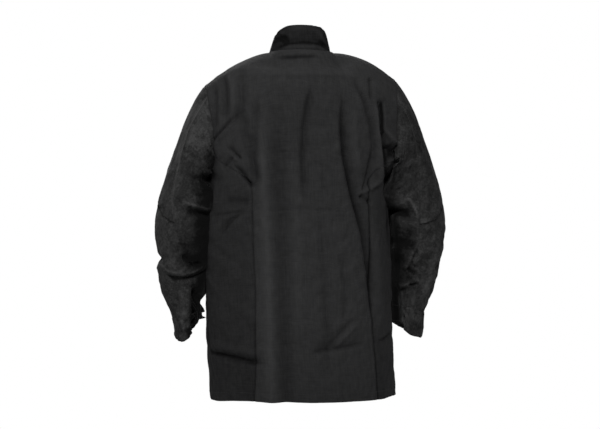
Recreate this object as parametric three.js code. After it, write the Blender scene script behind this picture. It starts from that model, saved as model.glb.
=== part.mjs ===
// Leather-sleeved welding jacket in the shape it has when it is worn and closed.
// Millimetres, +Z up. The wearer faces -Y, so the back of the jacket faces +Y and the wearer's left is +X.
// The origin is the middle of the neck opening, at the height where the jacket sits on the shoulders.

import * as THREE from 'three';

const { Vector3 } = THREE;
const { degToRad, lerp, smoothstep } = THREE.MathUtils;
const Z_AXIS = new Vector3(0, 0, 1);
const LEFT = 1;
const RIGHT = -1;

// Wall thicknesses and the clear space that two sewn panels keep
const COTTON_WALL = 1.2;
const LEATHER_WALL = 1.8;
const COLLAR_WALL = 3;
const SEAM_GAP = 0.85;

// Levels and widths of the body
const HEM_Z = -764;
const ARMPIT_Z = -205;
const ARMHOLE_DIP = 40;
const SHOULDER_HALF_WIDTH = 222;
const SHOULDER_DROP = 71;
const SHOULDER_ROUND = 1.75;
const SHOULDER_SEAM_Y = 0;
const SHOULDER_TILT = 0.05;
const TILT_FULL_Z = -60;
const TILT_START_X = 36;
const TILT_FULL_X = 130;
const YOKE_SQUARE = 2.5;

// Neck opening
const NECK_HALF_WIDTH = 72;
const NECK_BACK = 66;
const NECK_FRONT = 70;
const NECK_POINT_Z = 20;
const NECK_FRONT_DROP = 68;
const NECK_FRONT_CURVE = 1.4;
const NAPE_RISE = 30;
const NAPE_HALF_WIDTH = 115;
const NAPE_EDGE = 4;
const NAPE_START = 0.7;

// Front closure: the left front laps over the right one
const LAP = 22;
const LAP_LIFT = 3.2;
const LAP_EASE = 40;

// Side seams lie on the back of the body and turn out to the armholes
const SIDE_SEAM_ANGLE = 46;
const ARMHOLE_BACK_ANGLE = 66;
const ARMHOLE_FRONT_ANGLE = 113;
const SIDE_SEAM_TURN_Z = -290;

// Mesh rows and columns
const BODY_ROWS = 15;
const ROW_CROWDING = 1.25;
const YOKE_ROWS = 9;
const SIDE_COLUMNS = 5;
const SLEEVE_ROWS_PER_SECTION = 3;
const CUFF_COLUMNS = 22;
const CUFF_ROWS = 2;
const COLLAR_ROWS = 3;

const NECK_COLUMNS_BACK = 4;
const NECK_COLUMNS_FRONT = 3;
const SHOULDER_COLUMNS = 4;
const LAP_COLUMNS = 2;

// Where each column of a panel ends on the neckline or the shoulder seam, from the middle out
const SHOULDER_ENDS = steps(NECK_HALF_WIDTH, SHOULDER_HALF_WIDTH, SHOULDER_COLUMNS);
const BACK_ENDS = [...neckEnds(0, NECK_COLUMNS_BACK), ...SHOULDER_ENDS];
const LAP_NECK_ANGLE = Math.asin(LAP / NECK_HALF_WIDTH);
const FRONT_ENDS = [-LAP, 0, ...neckEnds(LAP_NECK_ANGLE, NECK_COLUMNS_FRONT), ...SHOULDER_ENDS];

// Sections of the body. Their corners at the back are cut off by planes at a distance from the middle.
const CHAMFER_ANGLE = 52;
const CHAMFER_SOFT = 6;
const CHAMFER_END = 0.3;
const BODY_SECTIONS = [
  { z: HEM_Z, halfWidth: 209, back: 150, front: 160, square: 3, chamfer: 195, twist: 7, swayX: -8 },
  { z: -590, halfWidth: 213, back: 150, front: 162, square: 2.75, chamfer: 197, twist: 5, swayX: 0 },
  { z: -455, halfWidth: 211, back: 147, front: 160, square: 2.6, chamfer: 197, twist: 3, swayX: 0 },
  { z: -318, halfWidth: 206, back: 144, front: 152, square: 2.7, chamfer: 198, twist: 1, swayX: 0 },
  { z: ARMPIT_Z, halfWidth: 203, back: 140, front: 146, square: 3, chamfer: 215, twist: 0, swayX: 0 },
];

// How far the hem hangs lower round the body, as degrees from the middle of the back round to the left
const HEM_DROP_START_Z = -560;
const HEM_LINE = [
  { angle: -190, drop: 0 },
  { angle: -130, drop: 5 },
  { angle: -95, drop: 8 },
  { angle: -60, drop: 0 },
  { angle: 0, drop: -2 },
  { angle: 55, drop: -7 },
  { angle: 100, drop: 8 },
  { angle: 135, drop: 5 },
  { angle: 190, drop: 0 },
];

// Sleeve sections, from the armhole to the cuff: the outer and inner side of the arm, its half depth,
// and the inset by which the outer side of the left arm hangs further in
const SLEEVE_SECTIONS = [
  { at: 'armhole', outerX: 222, outerZ: -53, innerX: 203, innerZ: -268, midY: 0, halfDepth: 80, inset: 0 },
  { at: 'cap', outerX: 245, outerZ: -84, innerX: 206, innerZ: -274, midY: 3, halfDepth: 80, inset: 2 },
  { at: 'deltoid', outerX: 271, outerZ: -134, innerX: 208, innerZ: -285, midY: 7, halfDepth: 79, inset: 4 },
  { at: 'biceps', outerX: 293, outerZ: -190, innerX: 209, innerZ: -300, midY: 11, halfDepth: 77, inset: 6 },
  { at: 'mid_arm', outerX: 313, outerZ: -250, innerX: 210, innerZ: -322, midY: 14, halfDepth: 75, inset: 5 },
  { at: 'elbow', outerX: 330, outerZ: -318, innerX: 211, innerZ: -358, midY: 17, halfDepth: 74, inset: 3 },
  { at: 'bend', outerX: 337, outerZ: -384, innerX: 213, innerZ: -402, midY: 17, halfDepth: 73, inset: 4 },
  { at: 'forearm', outerX: 329, outerZ: -440, innerX: 216, innerZ: -446, midY: 14, halfDepth: 70, inset: 5 },
  { at: 'stack', outerX: 326, outerZ: -472, innerX: 218, innerZ: -476, midY: 10, halfDepth: 66, inset: 2 },
  { at: 'low_arm', outerX: 316, outerZ: -520, innerX: 219, innerZ: -514, midY: 5, halfDepth: 58, inset: -1 },
  { at: 'wrist', outerX: 293, outerZ: -582, innerX: 221, innerZ: -560, midY: 0, halfDepth: 50, inset: 1 },
  { at: 'cuff', outerX: 288, outerZ: -630, innerX: 222, innerZ: -596, midY: -3, halfDepth: 47, inset: 2 },
];
const ELBOW_SECTION = 5;
const WRIST_SECTION = 10;
const CUFF_SECTION = 11;

// Sleeve seams, as degrees round the arm: 0 is its outer side and 90 its back
const BACK_SEAM_COLUMN = 5;
const FRONT_SEAM_COLUMN = 17;
const BACK_SEAM_TOP = 62;
const BACK_SEAM_WRIST = 122;
const FRONT_SEAM_TOP = 283;
const FRONT_SEAM_WRIST = 262;
const ELBOW_SEAM_SLANT = 0.55;
const ELBOW_SEAM_SPREAD = 3;
const ARMHOLE_FADE = 4;
const MM_PER_DEGREE = 1.15;
const MM_PER_SECTION = 52;

// Cuff: a band that laps over itself at the back seam. Its hem is given by the share of its way round,
// from the end that lies under the lap, as the share of the cuff's height that it reaches.
const CUFF_LAP_DEGREES = 22;
const CUFF_LAP_LIFT = 3.4;
const CUFF_HEM = [
  { share: 0, left: 0.68, right: 0.8 },
  { share: 0.2, left: 0.78, right: 0.9 },
  { share: 0.45, left: 0.95, right: 0.95 },
  { share: 0.68, left: 0.98, right: 1.02 },
  { share: 0.82, left: 1.22, right: 1.25 },
  { share: 0.92, left: 1.14, right: 1.36 },
  { share: 1, left: 0.9, right: 1.2 },
];

// Collar: a stand that leans in towards its top edge
const COLLAR_HEIGHT_BACK = 52;
const COLLAR_HEIGHT_FRONT = 42;
const COLLAR_LEAN = 13;
const COLLAR_LEAN_CURVE = 1.6;
const COLLAR_LAP_LIFT = 4;
const COLLAR_LAP_EASE = 40;

// Snap fasteners on the front lap and the collar
const SNAP_RADIUS = 7.5;
const SNAP_HEIGHT = 3;
const SNAP_RIM = 1.2;
const SNAP_SHOULDER = 0.9;
const SNAP_SIDES = 12;
const SNAP_STEPS = 3;
const SNAP_CLEARANCE = 0.45;
const FRONT_SNAP_LEVELS = [-120, -245, -370, -495, -620];

// Folds fade out round the sides of the body and towards the shoulder seams, and lean this much to the sides
const FOLD_LEAN = 0.35;
const FOLD_START_Y = 20;
const FOLD_FULL_Y = 70;
const FOLD_TOP_Z = -75;
const FOLD_END_Z = -35;

// Main folds of the body: a line from one point to another, seen from the back or the front.
// A positive height is a ridge and a negative one a groove, and reach is the half width of its slope.
const BODY_FOLDS = [
  { side: 'back', fromX: 98, fromZ: -130, toX: 86, toZ: -800, reach: 26, height: 10 },
  { side: 'back', fromX: 66, fromZ: -130, toX: 54, toZ: -800, reach: 22, height: -9 },
  { side: 'back', fromX: 16, fromZ: -100, toX: 18, toZ: -330, reach: 20, height: -6 },
  { side: 'back', fromX: -66, fromZ: -110, toX: -84, toZ: -250, reach: 20, height: -10 },
  { side: 'back', fromX: -84, fromZ: -250, toX: -132, toZ: -410, reach: 20, height: -10 },
  { side: 'back', fromX: -166, fromZ: -85, toX: -168, toZ: -180, reach: 16, height: -12 },
  { side: 'back', fromX: 148, fromZ: -70, toX: 146, toZ: -150, reach: 15, height: -7 },
  { side: 'back', fromX: 178, fromZ: -80, toX: 176, toZ: -140, reach: 14, height: -6 },
  { side: 'back', fromX: 166, fromZ: -222, toX: 122, toZ: -295, reach: 20, height: -8 },
  { side: 'back', fromX: -124, fromZ: -310, toX: -172, toZ: -275, reach: 18, height: 8 },
  { side: 'back', fromX: 215, fromZ: -655, toX: 112, toZ: -680, reach: 22, height: -8 },
  { side: 'back', fromX: -20, fromZ: -655, toX: -110, toZ: -645, reach: 20, height: -6 },
  { side: 'front', fromX: 120, fromZ: -170, toX: 96, toZ: -780, reach: 30, height: 9 },
  { side: 'front', fromX: -110, fromZ: -190, toX: -100, toZ: -780, reach: 30, height: 9 },
  { side: 'front', fromX: 60, fromZ: -420, toX: 54, toZ: -800, reach: 24, height: -7 },
  { side: 'front', fromX: -62, fromZ: -360, toX: -56, toZ: -800, reach: 24, height: -7 },
];

// Main folds of the sleeves, by degrees round the arm and sections down it
const SLEEVE_FOLDS = [
  { fromAngle: 70, fromRow: 8.2, toAngle: 170, toRow: 7.9, reach: 22, height: 6 },
  { fromAngle: -50, fromRow: 8.2, toAngle: 60, toRow: 8.2, reach: 20, height: 3 },
  { fromAngle: -50, fromRow: 7.45, toAngle: 150, toRow: 7.3, reach: 18, height: -4 },
  { fromAngle: 95, fromRow: 5.2, toAngle: 150, toRow: 5.7, reach: 18, height: -6 },
  { fromAngle: 80, fromRow: 4.7, toAngle: 150, toRow: 5.1, reach: 18, height: 5 },
  { fromAngle: 100, fromRow: 3.4, toAngle: 150, toRow: 3.7, reach: 22, height: -4 },
  { fromAngle: -110, fromRow: 5.8, toAngle: -60, toRow: 5.4, reach: 22, height: -8 },
  { fromAngle: -120, fromRow: 6.8, toAngle: -70, toRow: 7.2, reach: 22, height: -6 },
  { fromAngle: 132, fromRow: 8.6, toAngle: 134, toRow: 11.3, reach: 12, height: -8 },
];

const COTTON = { color: 0x262626, roughness: 0.9, metalness: 0 };
const SUEDE = { color: 0x222222, roughness: 0.96, metalness: 0 };
const SNAP_METAL = { color: 0x1c1c1e, roughness: 0.4, metalness: 0.7 };

// Tables

// Evenly spaced values from start to end, both included.
function steps(start, end, count) {
  return Array.from({ length: count + 1 }, (unused, step) => lerp(start, end, step / count));
}

// Places across the neck opening, evenly spaced round it from an angle up to the neck point, itself left out.
function neckEnds(fromAngle, count) {
  const angles = steps(fromAngle, Math.PI / 2, count);
  return angles.slice(0, -1).map((angle) => NECK_HALF_WIDTH * Math.sin(angle));
}

// The table's columns at a place between two rows, on a smooth curve through the rows.
function between(rows, key, place) {
  let below = 0;
  while (below < rows.length - 2 && place > rows[below + 1][key]) below += 1;
  const [start, end] = [rows[below], rows[below + 1]];
  const before = rows[below - 1] ?? start;
  const after = rows[below + 2] ?? end;
  const span = end[key] - start[key];
  const t = (place - start[key]) / span;
  const found = {};
  for (const column of Object.keys(start)) {
    if (typeof start[column] !== 'number') continue;
    const startSlope = ((end[column] - before[column]) / (end[key] - before[key])) * span;
    const endSlope = ((after[column] - start[column]) / (after[key] - start[key])) * span;
    found[column] =
      start[column] * (2 * t ** 3 - 3 * t ** 2 + 1) +
      end[column] * (3 * t ** 2 - 2 * t ** 3) +
      startSlope * (t ** 3 - 2 * t ** 2 + t) +
      endSlope * (t ** 3 - t ** 2);
  }
  return found;
}

// How far a fold lifts the point (across, along): full on the fold's line, fading to nothing beside it.
function foldHeight(across, along, fold) {
  const runAcross = fold.toAcross - fold.fromAcross;
  const runAlong = fold.toAlong - fold.fromAlong;
  const length = Math.hypot(runAcross, runAlong);
  const ahead = ((across - fold.fromAcross) * runAcross + (along - fold.fromAlong) * runAlong) / length;
  const beside = ((across - fold.fromAcross) * runAlong - (along - fold.fromAlong) * runAcross) / length;
  const past = Math.max(-ahead, ahead - length, 0);
  return fold.height * Math.exp(-(beside ** 2 + past ** 2) / (fold.reach * fold.reach));
}

// Walls

function cellNormal(points, row, column) {
  const rise = points[row + 1][column + 1].clone().sub(points[row][column]);
  const cross = points[row + 1][column].clone().sub(points[row][column + 1]);
  return rise.cross(cross).normalize();
}

// Calls add for each kept cell of a grid of points.
function overCells(points, keep, add) {
  for (let row = 0; row < points.length - 1; row += 1) {
    for (let column = 0; column < points[row].length - 1; column += 1) {
      if (keep(row, column)) add(row, column);
    }
  }
}

function gridNormals(points, keep = () => true) {
  const normals = points.map((line) => line.map(() => new Vector3()));
  overCells(points, keep, (row, column) => {
    const normal = cellNormal(points, row, column);
    for (const [r, c] of [[0, 0], [0, 1], [1, 0], [1, 1]]) normals[row + r][column + c].add(normal);
  });
  return normals.map((line) => line.map((normal) => normal.normalize()));
}

// A closed wall whose outer face is the grid's kept cells. Its edges stand back by half a seam gap.
function wall(points, thickness, { keep = () => true, normals = gridNormals(points, keep) } = {}) {
  const columns = points[0].length;
  const pull = points.map((line) => line.map(() => new Vector3()));
  const cells = points.map((line) => line.map(() => 0));
  const edges = new Map();
  const faces = [];
  const addEdge = (from, to) => {
    if (edges.has(`${to},${from}`)) edges.delete(`${to},${from}`);
    else edges.set(`${from},${to}`, [from, to]);
  };
  overCells(points, keep, (row, column) => {
    const corners = [[row, column], [row, column + 1], [row + 1, column + 1], [row + 1, column]];
    const middle = corners.reduce((sum, [r, c]) => sum.add(points[r][c]), new Vector3()).divideScalar(4);
    for (const [r, c] of corners) {
      pull[r][c].add(middle.clone().sub(points[r][c]));
      cells[r][c] += 1;
    }
    const [a, b, c, d] = corners.map(([r, k]) => r * columns + k);
    faces.push([a, b, c], [a, c, d]);
    [[a, b], [b, c], [c, d], [d, a]].forEach(([from, to]) => addEdge(from, to));
  });
  const rim = new Set([...edges.values()].flat());
  const position = [];
  for (const side of [0, 1]) {
    points.forEach((line, row) => line.forEach((point, column) => {
      const placed = point.clone().addScaledVector(normals[row][column], -side * thickness);
      if (rim.has(row * columns + column)) {
        placed.addScaledVector(pull[row][column].clone().normalize(), SEAM_GAP / 2);
      }
      position.push(...placed);
    }));
  }
  const inner = points.length * columns;
  const index = [];
  for (const [a, b, c] of faces) index.push(a, b, c, c + inner, b + inner, a + inner);
  for (const [a, b] of edges.values()) index.push(b, a, a + inner, b, a + inner, b + inner);
  const geometry = new THREE.BufferGeometry();
  geometry.setAttribute('position', new THREE.Float32BufferAttribute(position, 3));
  geometry.setIndex(index);
  const solid = geometry.toNonIndexed();
  solid.computeVertexNormals();
  return solid;
}

function named(name, geometry, finish) {
  const mesh = new THREE.Mesh(geometry, new THREE.MeshStandardMaterial(finish));
  mesh.name = name;
  return mesh;
}

// Body

// The left shoulder sits a little lower than the right one, and the difference fades out towards the hem.
function tilted(point) {
  const high = smoothstep(point.z, HEM_Z, TILT_FULL_Z);
  const share = high * smoothstep(Math.abs(point.x), TILT_START_X, TILT_FULL_X);
  return new Vector3(point.x, point.y, point.z - SHOULDER_TILT * point.x * share);
}

// A point of the body's section at a level, by degrees from the middle of the back round to the left.
function bodyPoint(angle, z, levelZ = z) {
  const section = between(BODY_SECTIONS, 'z', levelZ);
  const turn = degToRad(angle);
  const depth = Math.cos(turn) > 0 ? section.back : section.front;
  const sum =
    (Math.abs(Math.sin(turn)) / section.halfWidth) ** section.square +
    (Math.abs(Math.cos(turn)) / depth) ** section.square;
  const full = sum ** (-1 / section.square);
  const facing = Math.cos(turn - Math.sign(angle) * degToRad(CHAMFER_ANGLE));
  const cut = section.chamfer / Math.max(facing, CHAMFER_END);
  const radius = full - CHAMFER_SOFT * Math.log1p(Math.exp((full - cut) / CHAMFER_SOFT));
  const low = 1 - smoothstep(levelZ, HEM_Z, HEM_DROP_START_Z);
  const drop = between(HEM_LINE, 'angle', angle).drop * low;
  const point = new Vector3(radius * Math.sin(turn), radius * Math.cos(turn), z - drop);
  return point.applyAxisAngle(Z_AXIS, degToRad(section.twist)).add(new Vector3(section.swayX, 0, 0));
}

// The end of a yoke column: on the shoulder seam, or on the neckline inside it.
function yokeTop(x, isBack) {
  const across = Math.abs(x);
  if (across >= NECK_HALF_WIDTH) {
    const out = (across - NECK_HALF_WIDTH) / (SHOULDER_HALF_WIDTH - NECK_HALF_WIDTH);
    return new Vector3(x, SHOULDER_SEAM_Y, NECK_POINT_Z - SHOULDER_DROP * out ** SHOULDER_ROUND);
  }
  const round = Math.sqrt(1 - (x / NECK_HALF_WIDTH) ** 2);
  if (isBack) return new Vector3(x, NECK_BACK * round, NECK_POINT_Z);
  return new Vector3(x, -NECK_FRONT * round, NECK_POINT_Z - NECK_FRONT_DROP * round ** NECK_FRONT_CURVE);
}

// A yoke column climbs from the body at armpit level and bends over the shoulder, or rises to the neckline.
function yokePoint(foot, top, climb) {
  const turn = (climb * Math.PI) / 2;
  const up = Math.sin(turn) ** (2 / YOKE_SQUARE);
  const over = Math.max(Math.cos(turn), 0) ** (2 / YOKE_SQUARE);
  const nape = NAPE_RISE * Math.exp(-((top.x / NAPE_HALF_WIDTH) ** NAPE_EDGE));
  const dip = nape * (smoothstep(climb, NAPE_START, 1) - up);
  return new Vector3(lerp(foot.x, top.x, up), lerp(top.y, foot.y, over), lerp(foot.z, top.z, up) + dip);
}

// Where the columns stand on the body, as degrees from the middle of the back, from the middle out.
function backFeet() {
  return BACK_ENDS.map((x, column) => (ARMHOLE_BACK_ANGLE * column) / (BACK_ENDS.length - 1));
}

// The front's columns start at the edge of its lap, past the middle of the front.
function frontFeet() {
  const lapAngle = THREE.MathUtils.radToDeg(Math.atan(LAP / BODY_SECTIONS.at(-1).front));
  return FRONT_ENDS.map((x, column) => {
    if (column <= LAP_COLUMNS) return 180 + lapAngle * (1 - column);
    const share = (column - LAP_COLUMNS) / (FRONT_ENDS.length - 1 - LAP_COLUMNS);
    return lerp(180 - lapAngle, ARMHOLE_FRONT_ANGLE, share);
  });
}

function sideSeamAngle(z) {
  const turned = smoothstep(z, SIDE_SEAM_TURN_Z, ARMPIT_Z);
  return lerp(SIDE_SEAM_ANGLE, ARMHOLE_BACK_ANGLE, turned);
}

// A panel's grid with tilted shoulders and with its folds, which push the cloth out from the body's middle.
function folded(points, lift = () => 0) {
  return points.map((line) => line.map((point) => {
    const height = BODY_FOLDS.reduce((sum, fold) => {
      const outY = fold.side === 'back' ? point.y : -point.y;
      const onSide = smoothstep(outY, FOLD_START_Y, FOLD_FULL_Y);
      return sum + onSide * foldHeight(point.x, point.z, {
        ...fold, fromAcross: fold.fromX, toAcross: fold.toX, fromAlong: fold.fromZ, toAlong: fold.toZ,
      });
    }, 0);
    const free = 1 - smoothstep(point.z, FOLD_TOP_Z, FOLD_END_Z);
    const outward = new Vector3(FOLD_LEAN * point.x, point.y, 0).normalize();
    return tilted(point.clone().addScaledVector(outward, height * free + lift(point)));
  }));
}

// The body's rows lie closer together towards the armpits.
const rowLevel = (row) => lerp(ARMPIT_Z, HEM_Z, (1 - row / BODY_ROWS) ** ROW_CROWDING);

function backGrid() {
  const ends = [...BACK_ENDS.slice(1).reverse(), ...BACK_ENDS.map((x) => -x)];
  const feet = [...backFeet().slice(1).reverse(), ...backFeet().map((angle) => -angle)];
  const points = [];
  for (let row = 0; row <= BODY_ROWS; row += 1) {
    const z = rowLevel(row);
    points.push(feet.map((angle) => bodyPoint((angle * sideSeamAngle(z)) / ARMHOLE_BACK_ANGLE, z)));
  }
  for (let row = 1; row <= YOKE_ROWS; row += 1) {
    points.push(ends.map((x, column) =>
      yokePoint(points[BODY_ROWS][column], yokeTop(x, true), row / YOKE_ROWS)));
  }
  return points;
}

// A front panel's grid, from the side seam round under the arm to the front edge.
function frontGrid(side) {
  const ends = [...FRONT_ENDS].reverse();
  const feet = frontFeet().reverse();
  const points = [];
  for (let row = 0; row <= BODY_ROWS; row += 1) {
    const z = rowLevel(row);
    const line = [];
    for (let column = 0; column < SIDE_COLUMNS; column += 1) {
      const share = column / SIDE_COLUMNS;
      const angle = lerp(sideSeamAngle(z), ARMHOLE_FRONT_ANGLE, share);
      const dip = (ARMHOLE_DIP * Math.sin(Math.PI * share) * row) / BODY_ROWS;
      line.push(bodyPoint(side * angle, z - dip, z));
    }
    line.push(...feet.map((angle) => bodyPoint(side * angle, z)));
    points.push(line);
  }
  const foot = points[BODY_ROWS];
  for (let row = 1; row <= YOKE_ROWS; row += 1) {
    const climbed = ends.map((x, column) =>
      yokePoint(foot[SIDE_COLUMNS + column], yokeTop(side * x, false), row / YOKE_ROWS));
    points.push([...foot.slice(0, SIDE_COLUMNS), ...climbed]);
  }
  return points;
}

// The left front is lifted where it laps over the right front.
function lapLift(point) {
  if (point.y > 0) return 0;
  return LAP_LIFT * (1 - smoothstep(point.x, LAP, LAP + LAP_EASE));
}

const keepFront = (row, column) => row < BODY_ROWS || column >= SIDE_COLUMNS;

function frontSurface(side) {
  return folded(frontGrid(side), side === LEFT ? lapLift : () => 0);
}

function frontPanel(side) {
  const surface = frontSurface(side);
  if (side === RIGHT) return wall(surface, COTTON_WALL, { keep: keepFront });
  const turned = surface.map((line) => [...line].reverse());
  const last = turned[0].length - 2;
  return wall(turned, COTTON_WALL, { keep: (row, column) => keepFront(row, last - column) });
}

// Sleeves

// The armhole as a ring of points: from the shoulder down the back, under the arm and up the front.
function armholeRing(side) {
  const back = folded(backGrid());
  const front = frontSurface(side);
  const backEdge = side === LEFT ? 0 : back[0].length - 1;
  const ring = [];
  for (let row = BODY_ROWS + YOKE_ROWS; row > BODY_ROWS; row -= 1) ring.push(back[row][backEdge]);
  for (let column = 0; column < SIDE_COLUMNS; column += 1) ring.push(front[BODY_ROWS][column]);
  for (let row = BODY_ROWS; row < BODY_ROWS + YOKE_ROWS; row += 1) ring.push(front[row][SIDE_COLUMNS]);
  return ring;
}

// Degrees round the arm of a column, which keeps its share of the panel between the two sleeve seams.
function columnAngle(column, columns, along) {
  const backSeam = lerp(BACK_SEAM_TOP, BACK_SEAM_WRIST, along);
  const frontSeam = lerp(FRONT_SEAM_TOP, FRONT_SEAM_WRIST, along);
  if (column >= BACK_SEAM_COLUMN && column <= FRONT_SEAM_COLUMN) {
    const share = (column - BACK_SEAM_COLUMN) / (FRONT_SEAM_COLUMN - BACK_SEAM_COLUMN);
    return lerp(backSeam, frontSeam, share);
  }
  const before = column < BACK_SEAM_COLUMN ? column + columns : column;
  const share = (before - FRONT_SEAM_COLUMN) / (columns + BACK_SEAM_COLUMN - FRONT_SEAM_COLUMN);
  return lerp(frontSeam - 360, backSeam, share);
}

// The sleeve's section at a place down the arm: its middle, its outward direction and its half sizes.
function sleeveFrame(side, place) {
  const rows = SLEEVE_SECTIONS.map((section, row) => ({ ...section, row }));
  const found = between(rows, 'row', place);
  const hang = side === LEFT ? found.inset : 0;
  const outer = tilted(new Vector3(side * (found.outerX - hang), found.midY, found.outerZ));
  const inner = tilted(new Vector3(side * found.innerX, found.midY, found.innerZ));
  const middle = outer.clone().add(inner).divideScalar(2);
  const outward = outer.clone().sub(inner);
  const halfWidth = outward.length() / 2;
  return { middle, outward: outward.normalize(), halfWidth, halfDepth: found.halfDepth };
}

function sleeveFoldHeight(angle, place) {
  return SLEEVE_FOLDS.reduce((sum, fold) => {
    const middle = (fold.fromAngle + fold.toAngle) / 2;
    const near = middle + THREE.MathUtils.euclideanModulo(angle - middle + 180, 360) - 180;
    return sum + foldHeight(near * MM_PER_DEGREE, place * MM_PER_SECTION, {
      ...fold,
      fromAcross: fold.fromAngle * MM_PER_DEGREE,
      toAcross: fold.toAngle * MM_PER_DEGREE,
      fromAlong: fold.fromRow * MM_PER_SECTION,
      toAlong: fold.toRow * MM_PER_SECTION,
    });
  }, 0);
}

function sleevePoint(side, place, angle, extra = 0) {
  const frame = sleeveFrame(side, place);
  const turn = degToRad(angle);
  const lift = extra + sleeveFoldHeight(angle, place);
  return frame.middle.clone()
    .addScaledVector(frame.outward, Math.cos(turn) * (frame.halfWidth + lift))
    .add(new Vector3(0, Math.sin(turn) * (frame.halfDepth + lift), 0));
}

// The elbow seam runs lower at the back of the arm than at its outer side.
function slanted(place, angle) {
  const near = Math.exp(-((place - ELBOW_SECTION) ** 2) / ELBOW_SEAM_SPREAD);
  return place + ELBOW_SEAM_SLANT * near * Math.sin(degToRad(angle));
}

// The sleeve's grid: ring by ring from the armhole, whose shape fades into the arm's own section.
function sleeveGrid(side) {
  const armhole = armholeRing(side);
  const start = sleeveFrame(side, 0);
  const axis = new Vector3().crossVectors(start.outward, new Vector3(0, 1, 0));
  const rings = [];
  for (let row = 0; row <= WRIST_SECTION * SLEEVE_ROWS_PER_SECTION; row += 1) {
    const place = row / SLEEVE_ROWS_PER_SECTION;
    const own = smoothstep(place, 0, ARMHOLE_FADE);
    const frame = sleeveFrame(side, place);
    const frameAxis = new Vector3().crossVectors(frame.outward, new Vector3(0, 1, 0));
    rings.push(armhole.map((point, column) => {
      const angle = columnAngle(column, armhole.length, place / WRIST_SECTION);
      const offset = point.clone().sub(start.middle);
      const carried = frame.middle.clone()
        .addScaledVector(frame.outward, (offset.dot(start.outward) / start.halfWidth) * frame.halfWidth)
        .addScaledVector(frameAxis, offset.dot(axis))
        .add(new Vector3(0, (offset.y / start.halfDepth) * frame.halfDepth, 0));
      return carried.lerp(sleevePoint(side, slanted(place, angle), angle), own);
    }));
  }
  return rings;
}

// A part of the closed sleeve grid, between two columns and two rows, as an open grid facing out.
function sleevePart(side, grid, fromColumn, toColumn, fromRow, toRow) {
  const columns = grid[0].length;
  const closed = grid.map((ring) => [...ring, ring[0]]);
  const normals = gridNormals(closed);
  normals.forEach((line) => {
    const seam = line[0].clone().add(line[columns]).normalize();
    line[0] = seam;
    line[columns] = seam;
  });
  const pick = (lines) => lines.slice(fromRow, toRow + 1).map((line) => {
    const picked = [];
    for (let column = fromColumn; column <= toColumn; column += 1) picked.push(line[column % columns]);
    return side === RIGHT ? picked : picked.reverse();
  });
  const outward = side === RIGHT ? 1 : -1;
  const facing = normals.map((line) => line.map((normal) => normal.clone().multiplyScalar(outward)));
  return wall(pick(grid), LEATHER_WALL, { normals: pick(facing) });
}

function sleeve(side, word) {
  const grid = sleeveGrid(side);
  const columns = grid[0].length;
  const elbow = ELBOW_SECTION * SLEEVE_ROWS_PER_SECTION;
  const wrist = WRIST_SECTION * SLEEVE_ROWS_PER_SECTION;
  const outerEnd = columns + BACK_SEAM_COLUMN;
  const [front, back] = [FRONT_SEAM_COLUMN, BACK_SEAM_COLUMN];
  return [
    named(`upper_sleeve_${word}`, sleevePart(side, grid, front, outerEnd, 0, elbow), SUEDE),
    named(`lower_sleeve_${word}`, sleevePart(side, grid, front, outerEnd, elbow, wrist), SUEDE),
    named(`under_sleeve_${word}`, sleevePart(side, grid, back, front, 0, wrist), SUEDE),
  ];
}

// A cuff winds once round the wrist, and its end laps over its start at the back seam.
function cuff(side) {
  const points = [];
  for (let row = 0; row <= CUFF_ROWS; row += 1) {
    const line = [];
    for (let column = 0; column <= CUFF_COLUMNS; column += 1) {
      const share = column / CUFF_COLUMNS;
      const hem = between(CUFF_HEM, 'share', share);
      const reach = side === LEFT ? hem.left : hem.right;
      const place = lerp(WRIST_SECTION, CUFF_SECTION, (reach * row) / CUFF_ROWS);
      const angle = BACK_SEAM_WRIST - CUFF_LAP_DEGREES + share * (360 + CUFF_LAP_DEGREES);
      line.push(sleevePoint(side, place, angle, CUFF_LAP_LIFT * share));
    }
    points.push(side === RIGHT ? line : line.reverse());
  }
  return wall(points, LEATHER_WALL);
}

// Collar

// The collar's foot, from the right front edge round the back to the left front edge.
function neckline() {
  const top = BODY_ROWS + YOKE_ROWS;
  const neckColumns = FRONT_ENDS.length - SHOULDER_ENDS.length + 1;
  const right = frontSurface(RIGHT)[top].slice(-neckColumns).reverse();
  const left = frontSurface(LEFT)[top].slice(-neckColumns);
  const back = folded(backGrid())[top].filter((point) => Math.abs(point.x) < NECK_HALF_WIDTH - 1);
  return [...right, ...back.reverse(), ...left];
}

function collar() {
  const foot = neckline();
  const points = [];
  for (let row = 0; row <= COLLAR_ROWS; row += 1) {
    const share = row / COLLAR_ROWS;
    points.push(foot.map((point, column) => {
      const frontness = smoothstep(-point.y, -NECK_BACK, NECK_FRONT);
      const height = lerp(COLLAR_HEIGHT_BACK, COLLAR_HEIGHT_FRONT, frontness);
      const inward = new Vector3(-point.x, -point.y, 0).normalize();
      const lapped = column > foot.length / 2 && point.y < 0;
      const lift = lapped ? COLLAR_LAP_LIFT * (1 - smoothstep(point.x, LAP, LAP + COLLAR_LAP_EASE)) : 0;
      return point.clone()
        .addScaledVector(inward, COLLAR_LEAN * share ** COLLAR_LEAN_CURVE - lift)
        .add(new Vector3(0, 0, height * share + SEAM_GAP / 2));
    }));
  }
  return wall(points.map((line) => [...line].reverse()), COLLAR_WALL);
}

// Snaps

// A domed cap with a rounded rim, standing on the plane through the origin and facing +Z.
function snapCap() {
  const profile = new THREE.Path();
  profile.moveTo(0, 0);
  profile.lineTo(SNAP_RADIUS, 0);
  profile.lineTo(SNAP_RADIUS, SNAP_RIM);
  profile.quadraticCurveTo(SNAP_RADIUS * SNAP_SHOULDER, SNAP_HEIGHT, 0, SNAP_HEIGHT);
  return new THREE.LatheGeometry(profile.getPoints(SNAP_STEPS), SNAP_SIDES).rotateX(Math.PI / 2);
}

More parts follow.
